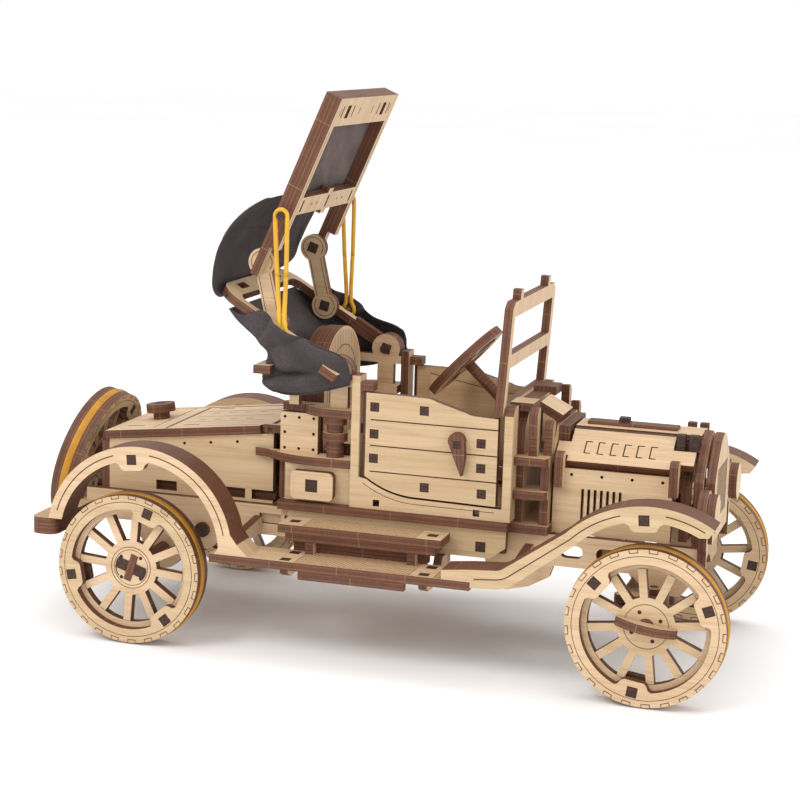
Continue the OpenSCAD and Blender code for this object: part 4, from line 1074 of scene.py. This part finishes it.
def side_bulge(q, t, p, seed):
    """How far the drape's side stands out past the bow's arm: a fat fold, a tuck, and a fold below it."""
    body = 5.6 * math.sin(math.pi * min(t * 1.05, 1)) ** 0.6 * smooth(q * 3.2)
    body *= 1 - 0.55 * smooth((q - 0.72) / 0.28)
    tuck_z = 107.4 + 0.12 * (p.x - 50)
    depth = smooth((74 - p.x) / 18)
    tuck = -5.2 * depth * math.exp(-((p.y - tuck_z) / 1.5) ** 2)
    lower = 2.6 * depth * math.exp(-((p.y - 103.4) / 2.6) ** 2)
    line = (p.x - 47.5) * 0.82 + (p.y - 112) * 0.57
    pocket = -4.6 * math.exp(-(line / 1.5) ** 2) * smooth((p.y - 107) / 3) * smooth((121 - p.y) / 6)
    folds = 1.0 * ripple(p.x, p.y, seed, 0.42) * smooth(t * 4) * smooth(q * 4)
    return body + tuck + lower + pocket + folds


def add_drape():
    """One skirt of cloth from the bow down to the hem bar, along both sides and across the back."""
    columns = []
    side_steps, back_steps, down_steps = 64, 70, 56
    for side, over in ((RIGHT, 4.4), (LEFT, 5.8)):
        half = []
        for q in np.linspace(0, 1, side_steps):
            column = []
            for t in np.linspace(0, 1, down_steps):
                p = side_point(q, t, over)
                bulge = side_bulge(q, t, p, 11 + side)
                corner = 2.6 * smooth((q - 0.8) / 0.2)
                k = (PIVOT - p).dot(-BOW_DIR)
                cover = 6.4 * math.exp(-((k - 25.5) / 6.5) ** 4) * smooth((0.6 - t) / 0.3)
                tucked = 3.2 * smooth((0.09 - t) / 0.09) * smooth((0.75 - q) / 0.2) * smooth((17 - k) / 4)
                under = 4.5 * smooth((t - 0.9) / 0.1)
                y = ROOF_Y + 0.7 + max(bulge - corner - tucked - under, cover)
                column.append(at(p.x, side * y, p.y))
            half.append(column)
        columns.append(half)
    right, left = columns
    back = []
    for i in range(1, back_steps):
        share = i / back_steps
        column = []
        for j, t in enumerate(np.linspace(0, 1, down_steps)):
            a, b = right[-1][j], left[-1][j]
            inner = math.sin(math.pi * share)
            p = a.lerp(b, share)
            loose = math.sin(math.pi * t)
            wave = 2.2 * inner * math.sin(2 * math.pi * t) + 1.2 * ripple(share * 72, t * 30, 21, 0.25)
            p.x += MM * loose * wave
            p.z -= MM * loose * 1.4 * inner
            column.append(p)
        back.append(column)
    piece = cloth_piece("roof_skirt", right + back + left[::-1])
    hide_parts("roof_drape")
    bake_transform(piece)


add_window()
add_curtain()
add_drape()


# ---------- studio ----------

def add_floor():
    bm = bmesh.new()
    bmesh.ops.create_circle(bm, cap_ends=True, radius=6, segments=96)
    mesh = bpy.data.meshes.new("floor")
    bm.to_mesh(mesh)
    bm.free()
    shader = Shader("studio_floor", Roughness=0.9, Specular_IOR_Level=0.1)
    place = shader.node("TexCoord").outputs["Object"]
    shader.colour(shader.ramp(shader.noise(place, (2, 2, 2)), (0.3, (253, 253, 253)), (0.7, (255, 255, 255))))
    mesh.materials.append(shader.material)
    floor = bpy.data.objects.new("floor", mesh)
    bpy.context.scene.collection.objects.link(floor)


def add_light(name, place, target, size, power):
    light = bpy.data.lights.new(name, "AREA")
    light.shape = "DISK"
    light.size = size
    light.energy = power
    lamp = bpy.data.objects.new(name, light)
    lamp.location = place
    lamp.rotation_euler = (Vector(target) - Vector(place)).to_track_quat("-Z", "Y").to_euler()
    bpy.context.scene.collection.objects.link(lamp)


def add_world(strength):
    world = bpy.data.worlds.new("studio")
    world.use_nodes = True
    background = world.node_tree.nodes["Background"]
    background.inputs["Color"].default_value = (1, 1, 1, 1)
    background.inputs["Strength"].default_value = strength
    bpy.context.scene.world = world


bpy.context.scene.view_settings.view_transform = "Standard"
add_floor()
add_world(1.0)
middle = (0, 0, 0.09)
add_light("key", (-0.5, -0.9, 1.1), middle, 0.7, 7)
add_light("fill", (1.2, -0.6, 0.5), middle, 0.9, 3)
add_light("top", (0.2, 0.3, 1.4), middle, 1.0, 4)
